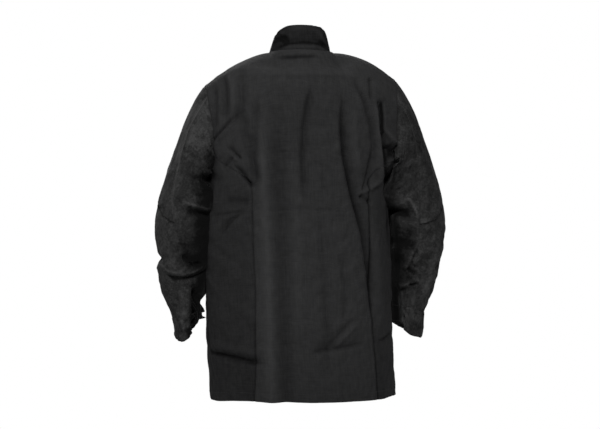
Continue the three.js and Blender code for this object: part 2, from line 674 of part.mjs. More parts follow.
function snapOn(name, point, normal) {
  const mesh = named(name, snapCap(), SNAP_METAL);
  mesh.quaternion.setFromUnitVectors(Z_AXIS, normal);
  mesh.position.copy(point).addScaledVector(normal, SNAP_CLEARANCE);
  return mesh;
}

// The point of the left front's middle line at a level, with the surface's direction there.
function onFrontLine(level) {
  const surface = frontSurface(LEFT);
  const normals = gridNormals(surface, keepFront);
  const column = surface[0].length - 2;
  let row = 0;
  while (surface[row + 1][column].z < level) row += 1;
  const [low, high] = [surface[row][column], surface[row + 1][column]];
  const share = (level - low.z) / (high.z - low.z);
  const normal = normals[row][column].clone().lerp(normals[row + 1][column], share).normalize().negate();
  return { point: low.clone().lerp(high, share), normal };
}

function frontSnaps() {
  return FRONT_SNAP_LEVELS.map((level, number) => {
    const { point, normal } = onFrontLine(level);
    return snapOn(`front_snap_${number + 1}`, point, normal);
  });
}

// Assembly

const jacket = new THREE.Group();
jacket.add(named('back_panel', wall(folded(backGrid()), COTTON_WALL), COTTON));
jacket.add(named('front_panel_left', frontPanel(LEFT), COTTON));
jacket.add(named('front_panel_right', frontPanel(RIGHT), COTTON));
jacket.add(named('collar', collar(), COTTON));
jacket.add(...sleeve(LEFT, 'left'), named('cuff_left', cuff(LEFT), SUEDE));
jacket.add(...sleeve(RIGHT, 'right'), named('cuff_right', cuff(RIGHT), SUEDE));
jacket.add(...frontSnaps());

export default jacket;
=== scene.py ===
"""Looks of the leather-sleeved welding jacket.

Cotton body, suede sleeves, folds, seams, stitches and snaps.
Lengths are in millimetres in the row frame, and become metres when a mesh is made.
The wearer faces -Y, the back of the jacket faces +Y, and the wearer's left is +X.
"""

import bpy
import numpy as np
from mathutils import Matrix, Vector


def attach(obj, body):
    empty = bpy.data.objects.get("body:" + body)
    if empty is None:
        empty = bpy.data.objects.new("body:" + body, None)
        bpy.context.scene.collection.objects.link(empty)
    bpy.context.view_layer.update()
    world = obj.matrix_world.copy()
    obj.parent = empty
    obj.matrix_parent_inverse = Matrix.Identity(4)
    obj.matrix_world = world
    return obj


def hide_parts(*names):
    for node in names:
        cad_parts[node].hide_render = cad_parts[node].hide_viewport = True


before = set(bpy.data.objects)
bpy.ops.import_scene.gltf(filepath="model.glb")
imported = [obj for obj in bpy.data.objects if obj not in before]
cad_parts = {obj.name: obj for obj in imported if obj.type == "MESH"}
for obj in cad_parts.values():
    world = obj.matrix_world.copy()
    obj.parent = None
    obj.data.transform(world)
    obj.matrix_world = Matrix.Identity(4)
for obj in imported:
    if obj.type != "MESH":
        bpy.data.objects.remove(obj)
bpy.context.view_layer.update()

LEFT = 1
RIGHT = -1
SIDES = {"left": LEFT, "right": RIGHT}
WORD = {LEFT: "left", RIGHT: "right"}
METRE = 0.001
SMALLEST = 1e-9
Y_AXIS = np.array([0.0, 1.0, 0.0])
Z_AXIS = np.array([0.0, 0.0, 1.0])


def table(names, *rows):
    """Rows of a table, under the names of its columns."""
    return [dict(zip(names.split(), row)) for row in rows]


def fold(reach, height, *path, lean=0, sharp=0):
    """A fold, or a stroke of tone, along a path of points.

    Reach is the half width of its slope, and a negative height is a groove or a darker tone. Lean makes one
    side steeper, and sharp runs from 0 for a soft roll to 1 for a crease.
    """
    return {"path": path, "reach": reach, "height": height, "lean": lean, "sharp": sharp}


# Walls
COTTON_WALL = 1.2
LEATHER_WALL = 1.8
COLLAR_WALL = 3.0
SEAM_GAP = 0.5
LIP = 0.35

# Body
HEM_Z = -764
ARMPIT_Z = -205
ARMHOLE_DIP = 40
SHOULDER_HALF_WIDTH = 222
SHOULDER_DROP = 71
SHOULDER_ROUND = 1.75
SHOULDER_SEAM_Y = 0
SHOULDER_TILT = 0.05
TILT_FULL_Z = -60
TILT_START_X = 36
TILT_FULL_X = 130
YOKE_SQUARE = 2.5
YOKE_EASE = 6
ROW_CROWDING = 1.25
CHAMFER_ANGLE = 52
CHAMFER_SOFT = 6
CHAMFER_END = 0.3

# Neck opening
NECK_HALF_WIDTH = 72
NECK_BACK = 66
NECK_FRONT = 70
NECK_POINT_Z = 20
NECK_FRONT_DROP = 68
NECK_FRONT_CURVE = 1.4
NAPE_RISE = 30
NAPE_HALF_WIDTH = 115
NAPE_EDGE = 4
NAPE_START = 0.7

# Front closure
LAP = 22
LAP_LIFT = 3.2
LAP_EASE = 40

# Columns across a front: the neck point, the start of the lap, the middle and the edge
NECK_COLUMN = 4
LAP_COLUMN = 7
MIDDLE_COLUMN = 8
FRONT_COLUMNS = 9

# Side seams and armholes, as degrees from the middle of the back
SIDE_SEAM_ANGLE = 46
ARMHOLE_BACK_ANGLE = 66
ARMHOLE_FRONT_ANGLE = 113
SIDE_SEAM_TURN_Z = -290

# How far the side seams are turned to the front near the hem
SIDE_SEAM_SHIFT = table(
    "z left right",
    (HEM_Z, 5.5, -3),
    (-680, 1.8, -2),
    (-600, 0, -1.8),
    (-530, -0.8, -1.5),
    (-440, 0, 0),
    (ARMPIT_Z, 0, 0),
)

# Sections of the body, from the hem to the armpits
BODY_SECTIONS = table(
    "z half_width back front square chamfer twist sway",
    (HEM_Z, 212, 150, 160, 3, 195, 7, -11),
    (-590, 213, 150, 162, 2.75, 197, 5, 0),
    (-455, 211, 147, 160, 2.6, 197, 3, 0),
    (-318, 206, 144, 152, 2.7, 198, 1, 0),
    (ARMPIT_Z, 203, 140, 146, 3, 215, 0, 0),
)

# Where the back seam of each sleeve runs, by sections down the arm and degrees round it
BACK_SEAM_WRIST = 122
BACK_SEAM = table(
    "row left right",
    (0, 44, 66),
    (2, 32, 74),
    (3, 41, 81),
    (4, 51, 94),
    (5, 68, 104),
    (7, 87, 109),
    (10, BACK_SEAM_WRIST, BACK_SEAM_WRIST),
)

# How far the hem hangs lower round the body, by degrees from the middle of the back round to the left
HEM_DROP_START_Z = -560
HEM_LINE = table(
    "angle drop",
    (-190, 0),
    (-130, 5),
    (-95, 8),
    (-60, 0),
    (0, -2),
    (55, -7),
    (100, 8),
    (135, 5),
    (190, 0),
)

# How far the cloth behind each arm is pulled out, and down on the right
PULL = table(
    "z left right down",
    (-640, 0, 0, 0),
    (-579, 6, 0, 0),
    (-530, 12, 0, 0),
    (-488, 15, 0, 0),
    (-420, 21, -3, 0),
    (-375, 22, -5, 0),
    (-318, 18, -8, 2),
    (-284, 13, -11, 6),
    (-262, 9, -5, 12),
    (-239, 17, 8, 18),
    (-207, 23, 18, 20),
    (-170, 14, 14, 12),
    (-130, 9, 8, 4),
    (-90, 5, 2, 0),
    (-50, 0, 0, 0),
)
PULL_START_X = 140
PULL_FULL_X = 200
PULL_FULL_Y = 50

# Sleeves, from the armhole to the cuff
SLEEVE_SECTIONS = table(
    "row outer_x outer_z inner_x inner_z y depth inset",
    (0, 222, -53, 203, -268, 0, 80, 0),
    (1, 243, -84, 206, -274, 3, 80, 0),
    (2, 268, -134, 208, -285, 7, 79, 1),
    (3, 288, -190, 209, -300, 11, 77, 1),
    (4, 309, -250, 210, -322, 14, 75, 1),
    (5, 328, -318, 211, -358, 17, 74, 1),
    (6, 338, -384, 213, -402, 17, 73, 5),
    (7, 332, -440, 216, -446, 14, 70, 8),
    (8, 326, -472, 218, -476, 10, 66, 2),
    (9, 316, -520, 219, -514, 5, 58, -1),
    (10, 293, -582, 221, -560, 0, 50, 1),
    (11, 288, -630, 222, -596, -3, 47, 2),
)
ELBOW_SECTION = 5
WRIST_SECTION = 10
CUFF_SECTION = 11
RING_COLUMNS = 23
RING_BACK = 9
RING_UNDER = 14
RING_EASE = {"left": 1.45, "right": 1}
BACK_SEAM_COLUMN = 5
FRONT_SEAM_COLUMN = 17
FRONT_SEAM_TOP = 283
FRONT_SEAM_WRIST = 262
ELBOW_SEAM = {"left": {"rise": 0, "slant": 0.55}, "right": {"rise": 0.25, "slant": 1.0}}
ELBOW_SEAM_SPREAD = 3
ARMHOLE_FADE = 4
MM_PER_DEGREE = 1.15
MM_PER_SECTION = 52
WAVES_CLOSE = 180
WAVES_SHIFT = {"left": 0, "right": 1000}
INNER_CALM_FADE = (-0.9, -0.5)
OUTER_CALM_FADE = (0.75, 0.97)
OUTER_CALM = 0.65
ARM_FOLD_FREE = 0.7

# Cuffs, by shares of the way round
CUFF_LAP_DEGREES = 22
CUFF_LAP_LIFT = 3.4
CUFF_TOP_LIFT = 0.6
CUFF_LIFT_START = 0.45
CUFF_LIFT_FULL = 0.94
CUFF_HEM = table(
    "share left right",
    (0, 0.38, 1.0),
    (0.2, 0.62, 1.2),
    (0.45, 0.62, 1.2),
    (0.68, 0.86, 1.1),
    (0.82, 1.2, 1.25),
    (0.93, 1.16, 1.4),
    (0.958, 0.95, 1.4),
    (0.978, 0.6, 1.38),
    (1, 0.45, 1.36),
)

# Collar
COLLAR_HEIGHT_BACK = 57
COLLAR_HEIGHT_SIDE = 38
COLLAR_HEIGHT_FRONT = 40
COLLAR_SIDE_Y = -12
COLLAR_TONE = -1.45
COLLAR_LEAN = 13
COLLAR_LEAN_CURVE = 1.1
COLLAR_LAP_LIFT = 4

# Snaps
SNAP_RADIUS = 7.5
SNAP_HEIGHT = 3
SNAP_RIM = 1.2
SNAP_RIM_LINE = [(-0.6, 0), (-0.1, 0.15), (0, 0.6), (-0.05, SNAP_RIM)]
SNAP_RING = 0.95
SNAP_RING_RISE = 0.25
SNAP_SHOULDER = 0.9
SNAP_DOME_STEPS = 9
SNAP_TIP = 0.05
SNAP_CLEARANCE = 0.45
SNAP_SIDES = 48
SNAP_LEVELS = [-120, -245, -370, -495, -620]

# Mesh cells
LOWER_ROWS = 180
YOKE_ROWS = 80
CLIMB_CROWDING = 1.15
BACK_CELLS = 180
SIDE_CELLS = 50
FRONT_CELLS = 81
EASE_COLUMNS = 24
PER_RING = 6
RING_CELLS = RING_COLUMNS * PER_RING
SLEEVE_ROWS = 170
CUFF_CELLS = 150
CUFF_ROWS = 18
COLLAR_ROWS = 18
NECK_START = SIDE_CELLS + FRONT_CELLS * NECK_COLUMN // FRONT_COLUMNS
SNAP_COLUMN = SIDE_CELLS + FRONT_CELLS * MIDDLE_COLUMN // FRONT_COLUMNS

# Folds fade out round the sides of the body, towards the shoulder seams and at their own ends
FOLD_LEAN = 0.35
FOLD_START_Y = 20
FOLD_FULL_Y = 70
FOLD_TOP_Z = -12
FOLD_END_Z = 14
FOLD_ENDS = 0.22
CREASE_WIDTH = 0.55

# Folds of the back and of the front, on paths through points (x, z)
BACK_FOLDS = [
    fold(18, 12, (110, -90), (106, -210), (95, -451), (82, -900)),
    fold(18, -9, (76, -60), (72, -230), (63, -420), (52, -900), sharp=0.1),
    fold(9, -7, (118, -80), (122, -150), (126, -230), (118, -310), sharp=0.4),
    fold(16, 4, (30, -210), (32, -420), (28, -640)),
    fold(10, -10, (-8, -56), (9, -120), (15, -165), (20, -240), (12, -330), lean=0.3, sharp=0.4),
    fold(8, -3, (-26, -230), (-28, -310), lean=0.3, sharp=0.4),
    fold(10, -18, (-76, -60), (-70, -150), (-75, -221), (-92, -304), (-120, -396), (-134, -480),
         (-140, -600), lean=0.35, sharp=0.7),
    fold(14, 6, (-96, -110), (-100, -200), (-112, -270)),
    fold(8, -12, (-98, -30), (-124, -94), (-139, -150), (-146, -205), (-128, -278), (-106, -330),
         lean=0.3, sharp=0.6),
    fold(7, 8, (-146, -95), (-152, -123), (-159, -185), (-167, -252), (-173, -310), sharp=0.2),
    fold(6, -9, (-144, -40), (-144, -100), sharp=0.5),
    fold(13, -12, (-164, -80), (-167, -130), (-167, -165), (-175, -215), (-184, -276), (-190, -330),
         lean=0.5, sharp=0.5),
    fold(4, -17, (-161, -92), (-164, -136), (-163, -178), sharp=0.5),
    fold(4, -8, (-164, -165), (-173, -220), (-181, -270), (-187, -330), sharp=0.6),
    fold(6, 11, (-170, -158), (-188, -177), (-208, -197), lean=0.3, sharp=0.4),
    fold(8, -13, (-176, -204), (-193, -201), (-206, -212), sharp=0.4),
    fold(5, 7, (-208, -210), (-191, -235), (-180, -258), sharp=0.3),
    fold(6, 7, (-106, -310), (-137, -294), (-170, -276), lean=0.3, sharp=0.4),
    fold(6, -8.5, (-110, -308), (-128, -319), (-142, -328), sharp=0.5),
    fold(13, 5, (-148, -360), (-158, -470), (-164, -640)),
    fold(7, -9, (186, -30), (184, -96), (187, -150), sharp=0.5),
    fold(8, -8, (148, -26), (150, -89), (154, -127), (176, -166), lean=0.2, sharp=0.5),
    fold(7, 6, (167, -34), (168, -140), sharp=0.1),
    fold(6, -7, (205, -46), (205, -102), (208, -180), sharp=0.4),
    fold(3.4, -8, (164, -134), (183, -157), (201, -177), (220, -201), sharp=0.8),
    fold(4, 4, (178, -162), (200, -188), sharp=0.2),
    fold(10, -7, (152, -118), (143, -172), (128, -240), (118, -300), sharp=0.3),
    fold(3.4, -11, (180, -202), (165, -218), (150, -233), lean=0.3, sharp=0.6),
    fold(4, 4, (176, -214), (160, -236), sharp=0.3),
    fold(4, -7, (190, -250), (176, -236), (164, -222), sharp=0.6),
    fold(5.5, -10, (166, -242), (143, -271), (120, -298), lean=0.4, sharp=0.6),
    fold(10, -7, (186, -322), (132, -325), sharp=0.2),
    fold(4.5, -4, (222, -356), (179, -350), (136, -342), sharp=0.6),
    fold(6, -8, (198, -398), (171, -365), (148, -346), lean=0.3, sharp=0.5),
    fold(10, -12, (244, -654), (168, -664), (98, -677), lean=0.5, sharp=0.7),
    fold(12, 5, (236, -634), (168, -646), (110, -660)),
    fold(9, -7.5, (10, -654), (-60, -646), (-130, -637), lean=0.5, sharp=0.6),
    fold(7, -5, (-34, -646), (-68, -612), (-102, -578), lean=0.3, sharp=0.4),
    fold(6, 3, (-48, -646), (-80, -616), (-112, -586), sharp=0.2),
    fold(5, -5, (-150, -636), (-180, -632), (-214, -620), sharp=0.4),
    fold(4, -1.8, (130, -342), (20, -340), (-110, -344), sharp=0.6),
    fold(14, -5, (-20, -330), (-34, -520), (-40, -720), lean=0.2, sharp=0.3),
    fold(11, -4, (-70, -420), (-78, -520), (-74, -600), lean=0.2, sharp=0.3),
    fold(13, 5, (150, -40), (60, -40), (-40, -39), (-130, -38), lean=0.4, sharp=0.1),
    fold(6, -9, (70, -2), (20, 0), (-32, 3), sharp=0.4),
]
FRONT_FOLDS = [
    fold(26, 10, (124, -100), (112, -420), (94, -900)),
    fold(26, 10, (-114, -110), (-106, -420), (-98, -900)),
    fold(20, -8, (62, -300), (52, -900), lean=0.2, sharp=0.2),
    fold(20, -8, (-64, -280), (-54, -900), lean=-0.2, sharp=0.2),
    fold(12, -9, (176, -70), (160, -180), (140, -290), sharp=0.4),
    fold(12, -9, (-178, -70), (-158, -180), (-142, -300), sharp=0.4),
    fold(12, 5, (150, -70), (134, -190), sharp=0.1),
    fold(12, 5, (-150, -70), (-132, -190), sharp=0.1),
    fold(9, -6, (200, -330), (150, -352), (96, -360), lean=0.3, sharp=0.5),
    fold(9, -6, (-200, -340), (-150, -330), (-100, -344), lean=0.3, sharp=0.5),
    fold(9, -7, (-200, -600), (-150, -620), (-90, -624), lean=0.3, sharp=0.5),
    fold(9, -5, (190, -560), (140, -600), (100, -610), lean=0.3, sharp=0.5),
]

# Folds round the sleeves, on paths through points (degrees round the arm, sections down it)
SLEEVE_FOLDS = {
    "both": [
        fold(16, -10, (-125, 5.9), (-50, 5.4), lean=0.2, sharp=0.4),
        fold(16, -9, (-130, 6.8), (-60, 7.3), sharp=0.4),
        fold(14, -6, (-120, 4.6), (-60, 4.2), sharp=0.4),
        fold(10, -6, (-90, 9.0), (-40, 9.3), sharp=0.4),
    ],
    "left": [
        fold(17, 4.5, (-110, 7.8), (-30, 7.8), (40, 7.8), sharp=0.1),
        fold(9, -6, (-100, 7.0), (-30, 7.0), (40, 7.05), sharp=0.4),
        fold(7, -8, (130, 9.62), (230, 9.62), sharp=0.3),
        fold(6, 5, (130, 10.0), (230, 10.0), sharp=0.2),
        fold(8, 9, (130, 10.6), (230, 10.6), sharp=0.2),
        fold(34, -12, (188, 9.3), (188, 10.8)),
        fold(26, 9, (192, 7.4), (192, 9.5)),
        fold(26, 10, (152, -0.5), (152, 9.5)),
        fold(26, 7, (212, 1), (212, 9.6)),
    ],
    "right": [
        fold(26, 16, (146, -1), (146, 2.5), (142, 8.4)),
        fold(26, 8, (208, 3.2), (208, 14)),
        fold(30, 15, (196, 0.4), (196, 5.6)),
    ],
}

# Folds of each sleeve's back, on paths through points (distance out from the middle of the body, z)
ARM_FOLDS = {
    "left": [
        fold(5, 7, (280, -323), (248, -332), (212, -343), lean=0.3, sharp=0.4),
        fold(8, -9, (272, -338), (246, -346), (208, -351), sharp=0.4),
        fold(6, 6, (262, -272), (244, -262), (208, -257), lean=0.2, sharp=0.3),
        fold(10, -10, (238, -276), (208, -272), sharp=0.3),
        fold(9, -5, (272, -226), (246, -228), (220, -232), sharp=0.3),
        fold(5, 6, (332, -448), (308, -475), (274, -482), (252, -478), (216, -460), lean=-0.3, sharp=0.3),
        fold(4.5, -8, (324, -478), (296, -490), (252, -490), (212, -472), sharp=0.4),
        fold(22, 13, (216, -180), (212, -240), (208, -360)),
        fold(8, 6, (276, -506), (268, -590), sharp=0.1),
        fold(6, 5, (258, -512), (256, -584), sharp=0.1),
        fold(8, -5, (290, -510), (282, -570), sharp=0.3),
        fold(4, 5, (276, -582), (270, -612), sharp=0.3),
        fold(9, -8, (280, -436), (257, -458), (226, -464), sharp=0.3),
        fold(10, -5, (326, -330), (316, -352), sharp=0.3),
        fold(8, -5, (300, -392), (280, -412), sharp=0.4),
        fold(7, -17, (249, -490), (248, -540), (246, -660), sharp=0.4),
    ],
    "right": [
        fold(5, 9, (206, -332), (227, -318), (236, -316), (246, -334), (258, -366), sharp=0.4),
        fold(8, -12, (196, -343), (216, -343), (240, -350), sharp=0.4),
        fold(22, 20, (210, -180), (197, -236), (195, -350)),
        fold(14, 9, (203, -238), (198, -276), (196, -330)),
        fold(10, -6, (204, -414), (236, -414), (258, -424), sharp=0.3),
        fold(5, 6, (250, -430), (232, -480), sharp=0.2),
        fold(5, 5, (266, -430), (250, -470), sharp=0.2),
        fold(5, -5, (257, -430), (240, -476), sharp=0.3),
        fold(4, -5, (236, -470), (258, -489), sharp=0.5),
        fold(4, 5, (240, -486), (252, -494), sharp=0.2),
        fold(4, 7, (224, -518), (243, -509), (268, -500), sharp=0.3),
        fold(4, -5, (242, -514), (262, -504), sharp=0.4),
        fold(5, -5, (224, -526), (258, -520), sharp=0.4),
        fold(5, -14, (220, -500), (224, -560), (227, -660), sharp=0.5),
        fold(7, 5, (262, -525), (254, -610), sharp=0.1),
        fold(6, -5, (244, -530), (240, -600), sharp=0.3),
        fold(12, -6, (236, -240), (250, -272), sharp=0.3),
        fold(10, -4, (262, -300), (290, -320), sharp=0.3),
    ],
}

# Light and shade painted on each sleeve's back, on the same kind of paths
ARM_PAINTED_SHADING = {
    "left": [
        fold(24, 0.2, (236, -85), (238, -143), (250, -180), (252, -220)),
        fold(10, -0.22, (256, -104), (286, -176), (308, -244)),
        fold(3, 0.35, (242, -100), (258, -134), (270, -170), (278, -200), (288, -231), (296, -262)),
        fold(18, -0.14, (250, -236), (252, -296)),
        fold(30, 0.14, (280, -100), (316, -260), (326, -380), (300, -540)),
        fold(12, -0.5, (214, -205), (214, -262)),
        fold(11, -0.8, (196, -274), (242, -276)),
        fold(24, -0.6, (214, -250), (222, -350)),
        fold(3, 0.5, (282, -322), (248, -332), (208, -344), sharp=0.2),
        fold(8, -0.6, (272, -342), (208, -353)),
        fold(18, -1.2, (206, -330), (207, -420), (210, -560)),
        fold(20, -0.3, (234, -345), (234, -470)),
        fold(16, -0.6, (284, -432), (257, -456), (222, -462)),
        fold(16, -0.4, (226, -340), (228, -400), (226, -470)),
        fold(16, -0.3, (292, -410), (262, -418), (240, -420)),
        fold(2.2, 0.2, (330, -450), (308, -475), (274, -482), (252, -478), (216, -460), sharp=0.2),
        fold(4, -0.4, (312, -487), (274, -492), (212, -474)),
        fold(14, -0.9, (222, -486), (232, -530)),
        fold(14, -1.1, (236, -520), (236, -640)),
        fold(12, 0.18, (276, -510), (266, -590)),
        fold(8, -0.9, (248, -500), (246, -650)),
        fold(9, -0.5, (260, -598), (250, -630)),
        fold(3, 0.4, (277, -580), (270, -612)),
    ],
    "right": [
        fold(38, -0.15, (240, -80), (268, -190), (284, -300)),
        fold(3, 0.5, (206, -332), (227, -318), (236, -316), (246, -334), (258, -366), sharp=0.2),
        fold(5, 0.6, (262, -368), (278, -364)),
        fold(9, -0.8, (192, -344), (242, -350)),
        fold(12, -0.3, (206, -215), (196, -262), (194, -330)),
        fold(8, 0.3, (250, -530), (245, -610)),
        fold(22, -0.4, (212, -390), (212, -520)),
        fold(18, -0.35, (200, -386), (250, -400)),
        fold(12, -0.35, (200, -416), (256, -422)),
        fold(9, -0.9, (200, -330), (202, -430), (204, -560)),
        fold(14, -0.4, (208, -430), (208, -510)),
        fold(5, 0.3, (250, -428), (232, -480)),
        fold(5, 0.25, (266, -428), (250, -470)),
        fold(4, -0.6, (236, -470), (258, -489)),
        fold(3, 0.35, (224, -518), (268, -500)),
        fold(4, -0.5, (242, -514), (262, -504)),
        fold(14, 0.28, (310, -410), (290, -500), (270, -570)),
        fold(5, -0.9, (220, -500), (224, -560), (227, -660)),
        fold(10, -0.9, (215, -560), (218, -660)),
        fold(2.5, 0.4, (230, -515), (233, -560), (235, -630)),
        fold(10, -0.8, (202, -430), (208, -530)),
    ],
}

# Folds of the collar's back, and light and shade painted on it, on paths through points (x, z)
COLLAR_FOLDS = [
    fold(4, -5, (64, 66), (52, 54), (34, 40), sharp=0.4),
    fold(3, -4, (64, 52), (52, 44), (44, 34), sharp=0.4),
    fold(3, 2, (58, 62), (44, 50), sharp=0.2),
    fold(4, -5, (-48, 64), (-58, 46), (-66, 30), sharp=0.4),
    fold(4, -5, (-36, 34), (-60, 32), (-76, 22), sharp=0.4),
    fold(3, -2, (44, 34), (24, 40), (-24, 40), (-44, 34), sharp=0.4),
]

COLLAR_PAINTED_SHADING = [
    fold(3, -1.6, (70, 22), (36, 33), (0, 36), (-36, 34), (-76, 18)),
    fold(5, 1.2, (56, 22), (26, 27), (-30, 28), (-60, 22)),
    fold(6, -1.8, (70, 42), (52, 46), (34, 48)),
    fold(3, -1.5, (48, 36), (32, 41)),
    fold(6, -1.6, (-32, 44), (-46, 34), (-62, 24)),
    fold(6, 0.7, (40, 68), (0, 72), (-40, 68)),
    fold(4, 0.8, (54, 64), (42, 59)),
    fold(5, 0.7, (-28, 66), (-40, 58), (-48, 48)),
]

# Light and shade painted on the body's back, on paths through points (x, z): shadows along creases and under
# the flap, highlights beside them, a lighter middle, and a darker upper back and hem
BACK_PAINTED_SHADING = [
    fold(3.4, -3.2, (-165, -86), (-169, -130), (-168, -186)),
    fold(4, -2.4, (-167, -160), (-176, -220), (-184, -270), (-190, -330), (-194, -440)),
    fold(11, -2.4, (-178, -212), (-202, -214), (-196, -230)),
    fold(2.4, -0.7, (168, -138), (201, -177), (222, -203)),
    fold(5, -1.2, (70, -2), (20, 0), (-32, 3)),
    fold(70, -0.5, (180, -775), (60, -775), (-60, -775), (-190, -775)),
    fold(110, 0.2, (90, -300), (90, -640)),
    fold(110, 0.2, (-60, -330), (-60, -640)),
    fold(80, -0.25, (130, -100), (-130, -100)),
    fold(2.4, 0.7, (-158, -86), (-162, -130), (-161, -178)),
    fold(2.4, 0.7, (-173, -90), (-177, -130), (-176, -165)),
    fold(3, -0.6, (160, -250), (143, -271), (122, -297)),
    fold(3.5, -0.7, (244, -656), (168, -666), (98, -679)),
    fold(3, -0.6, (-69, -110), (-69, -190), (-80, -253), (-94, -319), (-120, -396)),
]

# How much painted shade darkens the side panels behind the arms, by height
SIDE_PAINTED_SHADE = table(
    "z left right",
    (-780, -1.0, -0.7),
    (-690, -1.0, -0.6),
    (-640, -0.85, -0.3),
    (-450, -0.75, -0.15),
    (-300, -0.4, 0),
    (-220, 0, 0),
    (60, 0, 0),
)

# Where the side seams start to show below the arms
SEAM_TONE_TOP_Z = -240
SEAM_TONE_FULL_Z = -290
SEAM_PULL_EASE = 10

# Waviness: many small waves of these lengths, with heights that sum to about the given one
COTTON_WAVES = {"seed": 3, "count": 40, "shortest": 12, "longest": 70, "height": 0.8}
SUEDE_WAVES = {"seed": 7, "count": 48, "shortest": 9, "longest": 55, "height": 2.0}

# The fold height that gives full wear and painted light, the range of wear and painted shade, and the y
# where a sleeve's folds and painted light and shade fade in
WEAR_AND_SHADING_HEIGHT = 12
WEAR_AND_SHADING_RANGE = (-1.6, 1)
FOLD_FADE = (0, 40)
TONE_FADE = (-45, -15)

# Seams and stitches
TUCK_REACH = 2.5
TUCK_DEPTH = 2.3
CUFF_TUCK_REACH = 6
CUFF_TUCK_DEPTH = 1.5
SEAM_DEPTH = 1.6
SEAM_REACH = 2.8
SEAM_TONE = {"left": -0.9, "right": -2.2}
SEAM_TONE_REACH = 2.6
# Sleeve seams paler from rubbing and a painted highlight, fading down the arm
SEAM_RUB_AND_HIGHLIGHT = {"left": 0.45, "right": 0.17}
SEAM_RUB_AND_HIGHLIGHT_REACH = {"left": 3.4, "right": 6}
SEAM_RUB_AND_HIGHLIGHT_FALL = 0.6
SEAM_RUB_AND_HIGHLIGHT_ROWS = (2.5, 5)
ELBOW_TONE = -0.27
HEM_WIDTH = 20
HEM_RAISE = 0.5
TURN_WIDTH = 9
TURN_RAISE = 0.4
TURN_EDGE = 1.2
SEAM_INSET = 2.2
TURN_INSET = TURN_WIDTH - 1
HEM_INSET = HEM_WIDTH - 1.5
NECK_INSET = 2.6
EDGE_INSET = 4
STITCH_PITCH = 3.4
STITCH_LENGTH = 2.5
STITCH_WIDTH = 0.55
STITCH_HEIGHT = 0.32
STITCH_SHOULDER = 0.6
STITCH_NUDGE = 1e-6


# Tables and folds

def smooth(value, low, high):
    share = np.clip((value - low) / (high - low), 0, 1)
    return share * share * (3 - 2 * share)


def lerp(start, end, share):
    return start + (end - start) * share


def unit(vectors):
    return vectors / np.maximum(np.linalg.norm(vectors, axis=-1, keepdims=True), SMALLEST)


def bell(distance, reach):
    return np.exp(-((distance / reach) ** 2))


def points_at(places, run, line):
    """Points of a line at places along its run."""
    return np.stack([np.interp(places, run, line[:, axis]) for axis in range(3)], -1)


def column_at(rows, key, place, column):
    """A table's column at places between its rows, on a smooth curve through the rows."""
    keys = np.array([row[key] for row in rows], float)
    values = np.array([row[column] for row in rows], float)
    last = len(rows) - 1
    below = np.clip(np.searchsorted(keys, place, side="left") - 1, 0, last - 1)
    above = below + 1
    before = np.maximum(below - 1, 0)
    after = np.minimum(below + 2, last)
    span = keys[above] - keys[below]
    t = (place - keys[below]) / span
    start_slope = (values[above] - values[before]) / (keys[above] - keys[before]) * span
    end_slope = (values[after] - values[below]) / (keys[after] - keys[below]) * span
    ends = values[below] * (2 * t**3 - 3 * t**2 + 1) + values[above] * (3 * t**2 - 2 * t**3)
    return ends + start_slope * (t**3 - 2 * t**2 + t) + end_slope * (t**3 - t**2)


def fold_height(across, along, path, reach, height, lean, sharp):
    """How far a fold lifts points: full on its path, fading beside it and towards its two ends."""
    path = np.array(path, float)
    nearest = np.full(np.shape(across), np.inf)
    beside = np.zeros(np.shape(across))
    reached = np.zeros(np.shape(across))
    gone = 0.0
    for start, end in zip(path[:-1], path[1:]):
        length = np.hypot(*(end - start))
        run = (end - start) / length
        ahead = np.clip((across - start[0]) * run[0] + (along - start[1]) * run[1], 0, length)
        off_across = across - start[0] - ahead * run[0]
        off_along = along - start[1] - ahead * run[1]
        distance = np.hypot(off_across, off_along)
        nearer = distance < nearest
        nearest = np.where(nearer, distance, nearest)
        beside = np.where(nearer, np.sign(off_across * run[1] - off_along * run[0]), beside)
        reached = np.where(nearer, gone + ahead, reached)
        gone += length
    share = reached / gone
    taper = smooth(share, 0, FOLD_ENDS) * (1 - smooth(share, 1 - FOLD_ENDS, 1))
    width = reach * (1 + lean * beside)
    crease = np.exp(-nearest / (CREASE_WIDTH * width))
    return height * taper * lerp(bell(nearest, width), crease, sharp)


def fold_field(across, along, folds):
    return sum(fold_height(across, along, **row) for row in folds)


def on_back(points, strokes):
    """The sum of strokes on the back of the body or the collar, which fade out at its sides."""
    x, y, z = np.moveaxis(points, -1, 0)
    return fold_field(x, z, strokes) * smooth(y, 0, FOLD_START_Y)


def on_arm(side, points, strokes, start, full):
    """The sum of strokes on the back of a sleeve, which fade in from one y to another."""
    x, y, z = np.moveaxis(points, -1, 0)
    return fold_field(side * x, z, strokes[WORD[side]]) * smooth(y, start, full)


def waves(across, along, seed, count, shortest, longest, height):
    """A soft, irregular unevenness made of many waves in all directions."""
    chance = np.random.default_rng(seed)
    lengths = np.exp(chance.uniform(np.log(shortest), np.log(longest), count))
    turns = chance.uniform(0, 2 * np.pi, count)
    starts = chance.uniform(0, 2 * np.pi, count)
    total = np.zeros(np.shape(across))
    for length, turn, start in zip(lengths, turns, starts):
        way = across * np.cos(turn) + along * np.sin(turn)
        total += (length / longest) * np.sin(2 * np.pi * way / length + start)
    return total * height / np.sqrt(count / 4)


# Shape of the body

def tilted(points):
    """The left shoulder sits a little lower than the right one."""
    x, y, z = np.moveaxis(points, -1, 0)
    share = smooth(z, HEM_Z, TILT_FULL_Z) * smooth(np.abs(x), TILT_START_X, TILT_FULL_X)
    return np.stack([x, y, z - SHOULDER_TILT * x * share], -1)


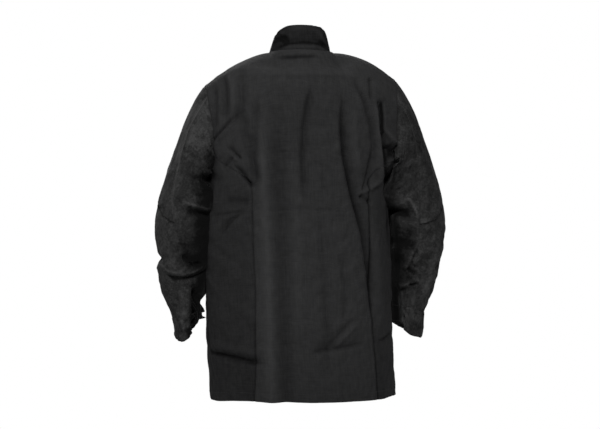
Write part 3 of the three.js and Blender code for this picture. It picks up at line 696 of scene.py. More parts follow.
def body_points(angle, z, level):
    """Points of the body's sections, by degrees from the middle of the back round to the left."""
    section = {key: column_at(BODY_SECTIONS, "z", level, key) for key in BODY_SECTIONS[0]}
    turn = np.radians(angle)
    depth = np.where(np.cos(turn) > 0, section["back"], section["front"])
    square = section["square"]
    across = (np.abs(np.sin(turn)) / section["half_width"]) ** square
    radius = (across + (np.abs(np.cos(turn)) / depth) ** square) ** (-1 / square)
    facing = np.cos(turn - np.sign(angle) * np.radians(CHAMFER_ANGLE))
    cut = section["chamfer"] / np.maximum(facing, CHAMFER_END)
    radius = radius - CHAMFER_SOFT * np.log1p(np.exp((radius - cut) / CHAMFER_SOFT))
    x, y = radius * np.sin(turn), radius * np.cos(turn)
    low = 1 - smooth(level, HEM_Z, HEM_DROP_START_Z)
    drop = column_at(HEM_LINE, "angle", angle, "drop") * low
    twist = np.radians(section["twist"])
    turned_x = x * np.cos(twist) - y * np.sin(twist) + section["sway"]
    turned_y = x * np.sin(twist) + y * np.cos(twist)
    return np.stack(np.broadcast_arrays(turned_x, turned_y, z - drop), -1)


def yoke_tops(x, is_back):
    """Where the columns end: on the shoulder seam, or on the neckline inside it."""
    out = np.clip((np.abs(x) - NECK_HALF_WIDTH) / (SHOULDER_HALF_WIDTH - NECK_HALF_WIDTH), 0, 1)
    round_neck = np.sqrt(np.clip(1 - (x / NECK_HALF_WIDTH) ** 2, 0, 1))
    z = NECK_POINT_Z - SHOULDER_DROP * out**SHOULDER_ROUND
    if is_back:
        return np.stack([x, SHOULDER_SEAM_Y + NECK_BACK * round_neck, z], -1)
    drop = NECK_FRONT_DROP * round_neck**NECK_FRONT_CURVE
    return np.stack([x, SHOULDER_SEAM_Y - NECK_FRONT * round_neck, z - drop], -1)


def yoke_points(foot, top, climb):
    """Columns that climb from armpit level and bend over the shoulder, or rise to the neckline."""
    turn = climb[:, None] * np.pi / 2
    up = np.sin(turn) ** (2 / YOKE_SQUARE)
    over = np.maximum(np.cos(turn), 0) ** (2 / YOKE_SQUARE)
    nape = NAPE_RISE * np.exp(-((top[:, 0] / NAPE_HALF_WIDTH) ** NAPE_EDGE))
    dip = nape * (smooth(climb[:, None], NAPE_START, 1) - up)
    near = climb[:, None, None] ** YOKE_EASE
    top = lerp(eased(top), top, near)
    x = lerp(foot[:, 0], top[..., 0], up)
    y = lerp(top[..., 1], foot[:, 1], over)
    return np.stack([x, y, lerp(foot[:, 2], top[..., 2], up) + dip], -1)


def eased(line):
    """A line of points without its corners."""
    window = np.hanning(2 * EASE_COLUMNS + 1)
    before = 2 * line[0] - line[EASE_COLUMNS:0:-1]
    padded = np.concatenate([before, line, 2 * line[-1] - line[-2 : -EASE_COLUMNS - 2 : -1]])
    columns = [np.convolve(padded[:, axis], window / window.sum(), "valid") for axis in range(3)]
    return np.stack(columns, -1)


def side_seam_angle(side, z):
    turned = lerp(SIDE_SEAM_ANGLE, ARMHOLE_BACK_ANGLE, smooth(z, SIDE_SEAM_TURN_Z, ARMPIT_Z))
    return turned + column_at(SIDE_SEAM_SHIFT, "z", z, WORD[side])


def pulled(points):
    """The cloth behind the arms is pulled out to the sides."""
    x, y, z = np.moveaxis(points, -1, 0)
    near = smooth(y, 0, PULL_FULL_Y) * smooth(np.abs(x), PULL_START_X, PULL_FULL_X)
    level = np.clip(z, PULL[0]["z"], PULL[-1]["z"])
    out = column_at(PULL, "z", level, "left") * (x > 0) - column_at(PULL, "z", level, "right") * (x < 0)
    down = column_at(PULL, "z", level, "down") * (x < 0)
    return np.stack([x + out * near, y, z - down * near], -1)


def folded(points, lift=0.0):
    """A panel with its folds, which push the cloth outwards, with wear and painted light on them and painted
    shade between them.
    """
    points = pulled(points)
    x, y, z = np.moveaxis(tilted(points), -1, 0)
    back = smooth(y, FOLD_START_Y, FOLD_FULL_Y) * fold_field(x, z, BACK_FOLDS)
    front = smooth(-y, FOLD_START_Y, FOLD_FULL_Y) * fold_field(x, z, FRONT_FOLDS)
    free = 1 - smooth(z, FOLD_TOP_Z, FOLD_END_Z)
    uneven = waves(x + y, z + y, **COTTON_WAVES)
    outward = unit(np.stack([FOLD_LEAN * x, y, np.zeros(np.shape(z))], -1))
    rise = (back + front) * free
    # Raised folds are paler with wear and painted light, and grooves and creases get painted shade
    wear_and_painted_shading = np.clip(rise / WEAR_AND_SHADING_HEIGHT, *WEAR_AND_SHADING_RANGE)
    hung = tilted(points + outward * (rise + uneven + lift)[..., None])
    # The light and shade painted on the back are added to this tone
    return hung, wear_and_painted_shading + on_back(hung, BACK_PAINTED_SHADING)


levels = np.linspace(HEM_Z, ARMPIT_Z, LOWER_ROWS + 1)
climbs = np.linspace(0, 1, YOKE_ROWS + 1) ** CLIMB_CROWDING
ring_places = np.linspace(0, RING_COLUMNS, RING_CELLS + 1)
arm_places = np.linspace(0, WRIST_SECTION, SLEEVE_ROWS + 1)[:, None]


def lap_lift(x, height):
    """How far the left front and its collar stand off what they lap over."""
    return height * (1 - smooth(x, LAP, LAP + LAP_EASE))


def back_surface():
    spread = np.linspace(1, -1, BACK_CELLS + 1)
    z = levels[:, None]
    seam = np.where(spread > 0, side_seam_angle(LEFT, z), side_seam_angle(RIGHT, z))
    lower = body_points(seam * spread, z, z)
    share = np.abs(spread)
    on_neck = NECK_HALF_WIDTH * np.sin(np.pi * np.minimum(share, 0.5))
    on_shoulder = lerp(NECK_HALF_WIDTH, SHOULDER_HALF_WIDTH, np.maximum(2 * share - 1, 0))
    ends = np.sign(spread) * np.where(share < 0.5, on_neck, on_shoulder)
    yoke = yoke_points(lower[-1], yoke_tops(ends, True), climbs[1:])
    return folded(np.concatenate([lower, yoke]))


def front_surface(side):
    """A front panel from the side seam round under the arm to the front edge."""
    lap_angle = np.degrees(np.arctan(LAP / BODY_SECTIONS[-1]["front"]))
    lap_neck = np.arcsin(LAP / NECK_HALF_WIDTH)
    column = np.linspace(0, FRONT_COLUMNS, FRONT_CELLS + 1)
    to_lap = lerp(ARMHOLE_FRONT_ANGLE, 180 - lap_angle, np.minimum(column / LAP_COLUMN, 1))
    feet = to_lap + lap_angle * np.maximum(column - LAP_COLUMN, 0)
    on_shoulder = lerp(SHOULDER_HALF_WIDTH, NECK_HALF_WIDTH, np.minimum(column / NECK_COLUMN, 1))
    round_neck = np.clip((column - NECK_COLUMN) / (LAP_COLUMN - NECK_COLUMN), 0, 1)
    on_neck = NECK_HALF_WIDTH * np.sin(lerp(np.pi / 2, lap_neck, round_neck))
    on_neck = np.where(column < LAP_COLUMN, on_neck, LAP * (MIDDLE_COLUMN - column))
    ends = np.where(column < NECK_COLUMN, on_shoulder, on_neck)
    z = levels[:, None]
    share = np.linspace(0, 1, SIDE_CELLS, endpoint=False)
    angle = lerp(side_seam_angle(side, z), ARMHOLE_FRONT_ANGLE, share)
    high = 1 - ((z - ARMPIT_Z) / (HEM_Z - ARMPIT_Z)) ** (1 / ROW_CROWDING)
    under = body_points(side * angle, z - ARMHOLE_DIP * np.sin(np.pi * share) * high, z)
    lower = np.concatenate([under, body_points(side * feet * np.ones_like(z), z, z)], 1)
    yoke = yoke_points(lower[-1, SIDE_CELLS:], yoke_tops(side * ends, False), climbs[1:])
    kept = np.repeat(lower[-1:, :SIDE_CELLS], YOKE_ROWS, 0)
    points = np.concatenate([lower, np.concatenate([kept, yoke], 1)])
    lapped = lap_lift(points[..., 0], LAP_LIFT) * (points[..., 1] < 0)
    return folded(points, lapped if side == LEFT else 0.0)


# Shape of the sleeves

def armhole_ring(side, back, front):
    """The armhole's points at even ring places: down the back, under the arm and up the front."""
    back_edge = back[LOWER_ROWS:, 0 if side == LEFT else -1]
    under = front[LOWER_ROWS, : SIDE_CELLS + 1]
    front_edge = front[LOWER_ROWS:, SIDE_CELLS]
    under_share = np.linspace(0, 1, SIDE_CELLS + 1)
    down = points_at(1 - (ring_places / RING_BACK) ** RING_EASE[WORD[side]], climbs, back_edge)
    below = points_at((ring_places - RING_BACK) / (RING_UNDER - RING_BACK), under_share, under)
    up = points_at((ring_places - RING_UNDER) / (RING_COLUMNS - RING_UNDER), climbs, front_edge)
    at = ring_places[:, None]
    return np.where(at < RING_BACK, down, np.where(at < RING_UNDER, below, up))


def column_angle(side, column, place):
    """Degrees round the arm of ring places, which keep their share between the two sleeve seams."""
    back_seam = column_at(BACK_SEAM, "row", place, WORD[side])
    front_seam = lerp(FRONT_SEAM_TOP, FRONT_SEAM_WRIST, place / WRIST_SECTION)
    share = (column - BACK_SEAM_COLUMN) / (FRONT_SEAM_COLUMN - BACK_SEAM_COLUMN)
    under = lerp(back_seam, front_seam, share)
    before = np.where(column < BACK_SEAM_COLUMN, column + RING_COLUMNS, column)
    share = (before - FRONT_SEAM_COLUMN) / (RING_COLUMNS + BACK_SEAM_COLUMN - FRONT_SEAM_COLUMN)
    outer = lerp(front_seam - 360, back_seam, share)
    is_under = (column >= BACK_SEAM_COLUMN) & (column <= FRONT_SEAM_COLUMN)
    return np.where(is_under, under, outer)


def sleeve_frame(side, place):
    found = {key: column_at(SLEEVE_SECTIONS, "row", place, key) for key in SLEEVE_SECTIONS[0]}
    hang = found["inset"] if side == LEFT else 0.0
    outer = tilted(np.stack([side * (found["outer_x"] - hang), found["y"], found["outer_z"]], -1))
    inner = tilted(np.stack([side * found["inner_x"], found["y"], found["inner_z"]], -1))
    half = np.linalg.norm(outer - inner, axis=-1, keepdims=True) / 2
    return (outer + inner) / 2, unit(outer - inner), half, found["depth"][..., None]


def sleeve_lift(side, place, angle):
    """How far waves, which close round the arm, and folds lift a sleeve."""
    start = FRONT_SEAM_WRIST - 360
    turned = start + np.mod(angle - start, 360)
    down = place * MM_PER_SECTION
    shift = WAVES_SHIFT[WORD[side]]
    here = waves(turned * MM_PER_DEGREE + shift, down, **SUEDE_WAVES)
    behind = waves((turned - 360) * MM_PER_DEGREE + shift, down, **SUEDE_WAVES)
    total = lerp(here, behind, smooth(turned, WAVES_CLOSE, FRONT_SEAM_WRIST))
    outward = np.cos(np.radians(angle))
    even = smooth(outward, *INNER_CALM_FADE) * (1 - OUTER_CALM * smooth(outward, *OUTER_CALM_FADE))
    total = total * smooth(place, 0, 1) * even
    for row in SLEEVE_FOLDS["both"] + SLEEVE_FOLDS[WORD[side]]:
        path = np.array(row["path"], float)
        middle = path[:, 0].mean()
        near = middle + np.mod(angle - middle + 180, 360) - 180
        scaled = {**row, "path": path * (MM_PER_DEGREE, MM_PER_SECTION)}
        total = total + fold_height(near * MM_PER_DEGREE, down, **scaled)
    return total


def sleeve_points(side, place, angle, extra=0.0):
    middle, outward, half, depth = sleeve_frame(side, place)
    turn = np.radians(angle)[..., None]
    lift = (extra + sleeve_lift(side, place, angle))[..., None]
    return middle + outward * np.cos(turn) * (half + lift) + Y_AXIS * np.sin(turn) * (depth + lift)


def slanted(side, place, angle):
    seam = ELBOW_SEAM[WORD[side]]
    near = np.exp(-((place - ELBOW_SECTION) ** 2) / ELBOW_SEAM_SPREAD)
    return place + (seam["slant"] * np.sin(np.radians(angle)) - seam["rise"]) * near


def sleeve_surface(side, ring):
    """The closed sleeve: the armhole's shape fades into the arm's own sections."""
    angle = column_angle(side, ring_places, arm_places)
    place = np.broadcast_to(arm_places, angle.shape)
    start_middle, start_outward, start_half, start_depth = sleeve_frame(side, np.zeros(1))
    middle, outward, half, depth = sleeve_frame(side, place)
    offset = ring - start_middle
    out = (offset * start_outward).sum(-1)[None, :, None] / start_half
    along = (offset * np.cross(start_outward, Y_AXIS)).sum(-1)[None, :, None]
    carried = middle + outward * out * half + np.cross(outward, Y_AXIS) * along
    carried = carried + Y_AXIS * offset[None, :, 1:2] / start_depth * depth
    own = smooth(place, 0, ARMHOLE_FADE)[..., None]
    return lerp(carried, sleeve_points(side, slanted(side, place, angle), angle), own)


def cuff_lift(share, down):
    """How far a cuff stands off the sleeve, so that its end can lap over its start."""
    return CUFF_LAP_LIFT * smooth(share, CUFF_LIFT_START, CUFF_LIFT_FULL) * lerp(CUFF_TOP_LIFT, 1, down)


def cuff_share(angle):
    """Where an angle round the arm falls on the cuff, as a share of its length."""
    return np.mod(angle - BACK_SEAM_WRIST + CUFF_LAP_DEGREES, 360) / (360 + CUFF_LAP_DEGREES)


def cuff_surface(side):
    """A cuff winds once round the wrist, and its end laps over its start at the back seam."""
    share = np.linspace(0, 1, CUFF_CELLS + 1)[None, :]
    down = np.linspace(0, 1, CUFF_ROWS + 1)[:, None]
    reach = column_at(CUFF_HEM, "share", share, WORD[side])
    place = lerp(WRIST_SECTION, CUFF_SECTION, reach * down)
    angle = BACK_SEAM_WRIST - CUFF_LAP_DEGREES + share * (360 + CUFF_LAP_DEGREES)
    angle = np.broadcast_to(angle, place.shape)
    return sleeve_points(side, place, angle, cuff_lift(share, down))


# Shape of the collar

def collar_surface(back, left, right):
    """The stand collar, from the right front edge round the back to the left front edge."""
    quarter = BACK_CELLS // 4
    behind = back[-1, quarter + 1 : -quarter - 1]
    foot = np.concatenate([right[-1, NECK_START:][::-1], behind[::-1], left[-1, NECK_START:]])
    height_share = np.linspace(0, 1, COLLAR_ROWS + 1)[:, None]
    x, y = foot[:, 0], foot[:, 1]
    height = lerp(COLLAR_HEIGHT_SIDE, COLLAR_HEIGHT_BACK, smooth(y, COLLAR_SIDE_Y, NECK_BACK))
    height = lerp(height, COLLAR_HEIGHT_FRONT, smooth(-y, 0, NECK_FRONT))
    inward = unit(np.stack([-x, -y, np.zeros_like(x)], -1))
    is_left = np.arange(len(foot)) > len(foot) / 2
    lift = lap_lift(x, COLLAR_LAP_LIFT) * (is_left & (y < 0))
    lean = COLLAR_LEAN * height_share**COLLAR_LEAN_CURVE - lift
    up = lerp(-TUCK_REACH, height, height_share)
    return foot + inward * lean[..., None] + up[..., None] * Z_AXIS


# Meshes

def cell_corners(points, keep=None):
    """The numbers of the four corners of a grid's cells, or of the kept ones."""
    index = np.arange(points[..., 0].size).reshape(points.shape[:2])
    cells = np.stack([index[:-1, :-1], index[:-1, 1:], index[1:, 1:], index[1:, :-1]], -1)
    return cells.reshape(-1, 4) if keep is None else cells[keep]


def grid_normals(points, keep=None):
    flat = points.reshape(-1, 3)
    cells = cell_corners(points, keep)
    across = np.cross(flat[cells[:, 2]] - flat[cells[:, 0]], flat[cells[:, 3]] - flat[cells[:, 1]])
    normals = np.zeros_like(flat)
    np.add.at(normals, cells, across[:, None])
    return unit(normals).reshape(points.shape)


def ring_normals(side, points):
    """Outward directions of a sleeve's closed grid, whose first and last columns are the same line."""
    normals = grid_normals(points)
    seam = unit(normals[:, 0] + normals[:, -1])
    normals[:, 0] = seam
    normals[:, -1] = seam
    return normals * -side


def distance_from(points, edge):
    """Each point's distance from one edge of its grid, measured along the grid."""
    axis = 0 if edge in ("bottom", "top") else 1
    far_end = edge in ("top", "end")
    steps = np.linalg.norm(np.diff(points, axis=axis), axis=-1)
    steps = np.flip(steps, axis) if far_end else steps
    blank = np.zeros_like(np.take(steps, [0], axis))
    run = np.cumsum(np.concatenate([blank, steps], axis), axis)
    return np.flip(run, axis) if far_end else run


def fill_mesh(name, vertices, faces, material, pattern=None, wear_and_painted_shading=None):
    """A mesh object from vertices in millimetres and lists of triangles or quads, shaded smooth."""
    mesh = bpy.data.meshes.new(name)
    corners = np.concatenate([group.ravel() for group in faces]).astype(np.int32)
    sizes = np.concatenate([np.full(len(group), group.shape[1]) for group in faces]).astype(np.int32)
    starts = np.concatenate([[0], np.cumsum(sizes)[:-1]]).astype(np.int32)
    mesh.vertices.add(len(vertices))
    mesh.vertices.foreach_set("co", (vertices * METRE).astype(np.float32).ravel())
    mesh.loops.add(len(corners))
    mesh.loops.foreach_set("vertex_index", corners)
    mesh.polygons.add(len(sizes))
    mesh.polygons.foreach_set("loop_start", starts)
    mesh.polygons.foreach_set("loop_total", sizes)
    mesh.polygons.foreach_set("use_smooth", np.ones(len(sizes), bool))
    if pattern is not None:
        layer = mesh.uv_layers.new(name="pattern")
        layer.data.foreach_set("uv", (pattern[corners] * METRE).astype(np.float32).ravel())
    if wear_and_painted_shading is not None:
        mesh.attributes.new("wear_and_painted_shading", "FLOAT", "POINT").data.foreach_set("value", wear_and_painted_shading.astype(np.float32))
    mesh.materials.append(material)
    mesh.update(calc_edges=True)
    mesh.validate()
    made = bpy.data.objects.new(name, mesh)
    bpy.context.scene.collection.objects.link(made)
    return made


def wall(name, points, normals, thickness, material, wear_and_painted_shading, flip=False, keep=None):
    """A closed wall whose outer face is the grid's kept cells, with rounded edges."""
    across = distance_from(points, "start")
    across = across - across[:, [across.shape[1] // 2]]
    pattern = np.stack([across, distance_from(points, "bottom")], -1)
    if flip:
        points, normals, pattern, wear_and_painted_shading = (grid[:, ::-1] for grid in (points, normals, pattern, wear_and_painted_shading))
        keep = None if keep is None else keep[:, ::-1]
    count = wear_and_painted_shading.size
    cells = cell_corners(points, keep)
    sides = np.concatenate([cells[:, [corner, (corner + 1) % 4]] for corner in range(4)])
    there = sides[:, 0] * count + sides[:, 1]
    back = sides[:, 1] * count + sides[:, 0]
    rim = sides[~np.isin(back, there)]
    outer, normals = points.reshape(-1, 3).copy(), normals.reshape(-1, 3)
    pull = np.zeros_like(outer)
    np.add.at(pull, cells, outer[cells].mean(1, keepdims=True) - outer[cells])
    on_rim = np.zeros(count, bool)
    on_rim[rim] = True
    pull = unit(pull) * on_rim[:, None]
    outer = outer + pull * SEAM_GAP / 2
    inner = outer - normals * thickness
    lip = (outer + inner) / 2 - pull * thickness * LIP
    used = np.zeros(3 * count, bool)
    used[: 2 * count] = np.tile(np.isin(np.arange(count), cells), 2)
    used[2 * count :] = on_rim
    number = np.cumsum(used) - 1
    a, b = rim[:, 0], rim[:, 1]
    faces = np.concatenate([
        cells,
        cells[:, ::-1] + count,
        np.stack([b, a, a + 2 * count, b + 2 * count], -1),
        np.stack([b + 2 * count, a + 2 * count, a + count, b + count], -1),
    ])
    vertices = np.concatenate([outer, inner, lip])[used]
    flat_pattern = np.tile(pattern.reshape(-1, 2), (3, 1))[used]
    flat_wear_and_painted_shading = np.tile(wear_and_painted_shading.ravel(), 3)[used]
    return fill_mesh(name, vertices, [number[faces]], material, flat_pattern, flat_wear_and_painted_shading)


def beside(points, normals, edge, inset):
    """The line that runs beside one edge of a grid, with the surface's direction along it."""
    run = distance_from(points, edge)
    if edge in ("bottom", "top"):
        points, normals, run = points.swapaxes(0, 1), normals.swapaxes(0, 1), run.T
    if edge in ("top", "end"):
        points, normals, run = points[:, ::-1], normals[:, ::-1], run[:, ::-1]
    line = np.array([points_at(inset, lengths, row) for lengths, row in zip(run, points)])
    facing = np.array([points_at(inset, lengths, row) for lengths, row in zip(run, normals)])
    return line, unit(facing)


def stitch_row(line, facing):
    """Vertices and faces of a row of stitches along a line on a surface."""
    run = np.concatenate([[0], np.cumsum(np.linalg.norm(np.diff(line, axis=0), axis=1))])
    places = np.arange(STITCH_PITCH, run[-1] - STITCH_PITCH / 2, STITCH_PITCH)
    middle = points_at(places, run, line)
    normal = unit(points_at(places, run, facing))
    out = normal * STITCH_HEIGHT
    along = unit(points_at(places + 1, run, line) - middle + STITCH_NUDGE)
    side = np.cross(normal, along) * STITCH_WIDTH
    half = along * STITCH_LENGTH / 2
    corners = [middle - half - out]
    for end in (-half * STITCH_SHOULDER, half * STITCH_SHOULDER):
        corners += [middle + end + step for step in (side, out, -side, -out)]
    corners.append(middle + half - out)
    vertices = np.stack(corners, 1).reshape(-1, 3)
    triangles = [[0, 2, 1], [0, 3, 2], [0, 4, 3], [0, 1, 4], [9, 5, 6], [9, 6, 7], [9, 7, 8], [9, 8, 5]]
    quads = [[1, 2, 6, 5], [2, 3, 7, 6], [3, 4, 8, 7], [4, 1, 5, 8]]
    base = np.arange(len(places))[:, None, None] * len(corners)
    return vertices, (base + np.array(triangles)).reshape(-1, 3), (base + np.array(quads)).reshape(-1, 4)


def sewn(points, normals, *lines):
    """Rows of stitches beside a grid's edges, each at its own distance from an edge."""
    return [stitch_row(*beside(points, normals, edge, inset)) for edge, inset in lines]


def stitches(name, rows, material):
    """Rows of stitches joined into one object."""
    vertices, triangles, quads = [], [], []
    count = 0
    for more, threes, fours in rows:
        vertices.append(more)
        triangles.append(threes + count)
        quads.append(fours + count)
        count += len(more)
    faces = [np.concatenate(triangles), np.concatenate(quads)]
    return fill_mesh(name, np.concatenate(vertices), faces, material)


def fix_piece(piece, node=None):
    """Fixes a piece to the part's body, and hides the model's node that it is shown for."""
    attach(piece, "root")
    if node:
        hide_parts(node)


def edge_dip(distance):
    """Cloth rolls in at a sewn edge."""
    return -SEAM_DEPTH * bell(distance, SEAM_REACH)


def tucked(points, normals, line, inner, reach, depth):
    """A grid with one line of its edge slipped under the panel that it is sewn to."""
    out = points.copy()
    step = unit(points[line] - points[inner])
    out[line] = points[line] + step * reach - normals[line] * depth
    return out


def seam_line(distance):
    """How much darker a seam is, fading out beside it."""
    return bell(distance, SEAM_TONE_REACH)


def seam_shows(points):
    """The side seams show most below the arms."""
    return 1 - smooth(points[..., 2], SEAM_TONE_FULL_Z, SEAM_TONE_TOP_Z)


def seam_pull(points):
    """How deep the side seams and armholes are pulled in: little where the cloth hangs free."""
    armhole = smooth(points[..., 2], ARMPIT_Z - SEAM_PULL_EASE, ARMPIT_Z + SEAM_PULL_EASE)
    return np.maximum(seam_shows(points), armhole)


def turn_raise(distance, width, height):
    """Cloth is thicker where its edge is turned under."""
    return height * (1 - smooth(distance, width - TURN_EDGE, width + TURN_EDGE))


# Materials

def new_material(name):
    material = bpy.data.materials.new(name)
    material.use_nodes = True
    return material, material.node_tree, material.node_tree.nodes["Principled BSDF"]


def fill_sockets(tree, node, sockets):
    """Gives a node's inputs their values, or links them to other nodes' outputs."""
    for key, value in sockets.items():
        if isinstance(value, bpy.types.NodeSocket):
            tree.links.new(value, node.inputs[key])
        else:
            node.inputs[key].default_value = value


def add_node(tree, kind, sockets, **settings):
    node = tree.nodes.new(kind)
    for key, value in settings.items():
        setattr(node, key, value)
    fill_sockets(tree, node, sockets)
    return node


def attribute(tree, name):
    return add_node(tree, "ShaderNodeAttribute", {}, attribute_name=name).outputs["Fac"]


def noise(tree, vector, scale, detail, roughness, distortion=0.0):
    sockets = {
        "Vector": vector, "Scale": scale, "Detail": detail, "Roughness": roughness, "Distortion": distortion,
    }
    return add_node(tree, "ShaderNodeTexNoise", sockets).outputs["Fac"]


def stretched(tree, vector, scale, turn=0.0):
    sockets = {"Vector": vector, "Rotation": (0.0, 0.0, turn), "Scale": (*scale, 1.0)}
    return add_node(tree, "ShaderNodeMapping", sockets).outputs["Vector"]


def sum_of(tree, start, terms):
    """A value with weighted values added to it."""
    total = start
    for value, weight in terms:
        sockets = {0: value, 1: weight, 2: total}
        total = add_node(tree, "ShaderNodeMath", sockets, operation="MULTIPLY_ADD").outputs["Value"]
    return total


def ramp_of(tree, value, *stops):
    """A ramp of greys or colours over a value."""
    ramp = add_node(tree, "ShaderNodeValToRGB", {"Fac": value})
    elements = ramp.color_ramp.elements
    while len(elements) < len(stops):
        elements.new(0.5)
    for element, (position, colour) in zip(elements, stops):
        element.position = position
        element.color = (*np.broadcast_to(colour, 3), 1.0)
    return ramp.outputs["Color"]


def bump_of(tree, height, strength, distance, below=None):
    sockets = {"Height": height, "Strength": strength, "Distance": distance}
    if below is not None:
        sockets["Normal"] = below
    return add_node(tree, "ShaderNodeBump", sockets).outputs["Normal"]


def on_object(tree):
    return add_node(tree, "ShaderNodeTexCoord", {}).outputs["Object"]


def cotton_material():
    """Matte black twill: fine diagonal ribs, slubs along the warp, paler with wear and painted light where
    folds stand out, and painted shade in grooves and shadowed places.
    """
    material, tree, shader = new_material("cotton_twill")
    pattern = add_node(tree, "ShaderNodeUVMap", {}, uv_map="pattern").outputs["UV"]
    along_warp = stretched(tree, pattern, scale=(360.0, 16.0))
    along_weft = stretched(tree, pattern, scale=(24.0, 420.0))
    slub = noise(tree, along_warp, scale=1.0, detail=4.0, roughness=0.65)
    weft = noise(tree, along_weft, scale=1.0, detail=3.0, roughness=0.6)
    fade = noise(tree, on_object(tree), scale=60.0, detail=5.0, roughness=0.75)
    # The attribute carries wear and painted light and shade
    tone = sum_of(tree, 0.0, [(attribute(tree, "wear_and_painted_shading"), 0.2), (slub, 0.38), (weft, 0.32), (fade, 0.4)])
    ribs = stretched(tree, pattern, scale=(700.0, 700.0), turn=1.05)
    ribs = {"Vector": ribs, "Scale": 0.5, "Distortion": 1.2, "Detail": 1.0}
    twill = add_node(tree, "ShaderNodeTexWave", ribs).outputs["Fac"]
    slubbed = bump_of(tree, slub, strength=0.25, distance=0.0004)
    # The palest grey stands for wear and painted light, the darkest for painted shadow in creases
    black = (0.0135, 0.0135, 0.0138)
    faded_and_lit = (0.049, 0.049, 0.0496)
    fill_sockets(tree, shader, {
        "Base Color": ramp_of(tree, tone, (0.05, 0.004), (0.25, black), (0.9, faded_and_lit)),
        "Roughness": 0.93,
        "Specular IOR Level": 0.1,
        "Sheen Weight": 0.03,
        "Sheen Roughness": 0.45,
        "Sheen Tint": (0.5, 0.5, 0.52, 1.0),
        "Normal": bump_of(tree, twill, strength=0.3, distance=0.0003, below=slubbed),
    })
    return material


def suede_material():
    """Black split leather: a mottled nap with light and shade painted on it, and a coarse fibre grain."""
    material, tree, shader = new_material("suede_leather")
    place_on = on_object(tree)
    patch = noise(tree, place_on, scale=45.0, detail=4.0, roughness=0.65, distortion=0.3)
    mottle = noise(tree, place_on, scale=190.0, detail=4.0, roughness=0.75, distortion=0.3)
    grain = noise(tree, place_on, scale=900.0, detail=2.0, roughness=0.6)
    # The attribute carries painted light and shade, and paler seams from rubbing and a painted highlight
    tone = sum_of(tree, -0.68, [(patch, 1.0), (attribute(tree, "wear_and_painted_shading"), 1.0), (mottle, 1.1), (grain, 0.3)])
    napped = bump_of(tree, mottle, strength=0.5, distance=0.0015)
    fill_sockets(tree, shader, {
        "Base Color": ramp_of(tree, tone, (0.05, 0.004), (0.5, 0.024), (0.95, 0.064)),
        "Roughness": 0.96,
        "Specular IOR Level": 0.12,
        "Sheen Weight": 0.1,
        "Sheen Roughness": 0.4,
        "Sheen Tint": (0.5, 0.5, 0.5, 1.0),
        "Normal": bump_of(tree, grain, strength=0.5, distance=0.0005, below=napped),
    })
    return material


def thread_material(name, dark, light):
    """Twisted thread: fine bands of tone along each stitch."""
    material, tree, shader = new_material(name)
    twist = noise(tree, on_object(tree), scale=900.0, detail=2.0, roughness=0.6)
    fill_sockets(tree, shader, {
        "Base Color": ramp_of(tree, twist, (0.35, dark), (0.65, light)),
        "Roughness": 0.7,
        "Specular IOR Level": 0.25,
        "Normal": bump_of(tree, twist, strength=0.4, distance=0.0002),
    })
    return material


def snap_material():
    """Black lacquer on metal, with a little rubbing wear."""
    material, tree, shader = new_material("black_lacquer")
    rub_and_highlight = noise(tree, on_object(tree), scale=420.0, detail=4.0, roughness=0.6)
    fill_sockets(tree, shader, {
        "Base Color": ramp_of(tree, rub_and_highlight, (0.4, (0.012, 0.012, 0.013)), (0.75, (0.03, 0.03, 0.032))),
        "Roughness": ramp_of(tree, rub_and_highlight, (0.3, 0.28), (0.8, 0.5)),
        "Coat Weight": 0.4,
        "Coat Roughness": 0.25,
    })
    return material


cotton = cotton_material()
suede = suede_material()
cotton_thread = thread_material("cotton_thread", dark=(0.012, 0.012, 0.013), light=(0.03, 0.03, 0.031))
leather_thread = thread_material("leather_thread", dark=0.012, light=0.034)
lacquer = snap_material()


# Pieces of cotton

back, back_wear_and_painted_shading = back_surface()
fronts, fronts_wear_and_painted_shading = {}, {}
for word, side in SIDES.items():
    fronts[word], fronts_wear_and_painted_shading[word] = front_surface(side)
back_normals = grid_normals(back)
side_run = np.minimum(distance_from(back, "start"), distance_from(back, "end"))
relief = edge_dip(np.minimum(side_run, distance_from(back, "top"))) * seam_pull(back)
relief = relief + turn_raise(side_run, TURN_WIDTH, TURN_RAISE) * seam_pull(back)
relief = relief + turn_raise(distance_from(back, "bottom"), HEM_WIDTH, HEM_RAISE)
back_shown = back + back_normals * relief[..., None]
for word, edge in (("left", "start"), ("right", "end")):
    back_wear_and_painted_shading = back_wear_and_painted_shading + SEAM_TONE[word] * seam_line(distance_from(back, edge)) * seam_shows(back)
back_piece = wall("back", back_shown, grid_normals(back_shown), COTTON_WALL, cotton, back_wear_and_painted_shading)
fix_piece(back_piece, "back_panel")
back_rows = sewn(
    back_shown, back_normals,
    ("start", SEAM_INSET), ("start", TURN_INSET), ("end", SEAM_INSET), ("end", TURN_INSET),
    ("bottom", HEM_INSET), ("top", NECK_INSET),
)
fix_piece(stitches("back_stitches", back_rows, cotton_thread))

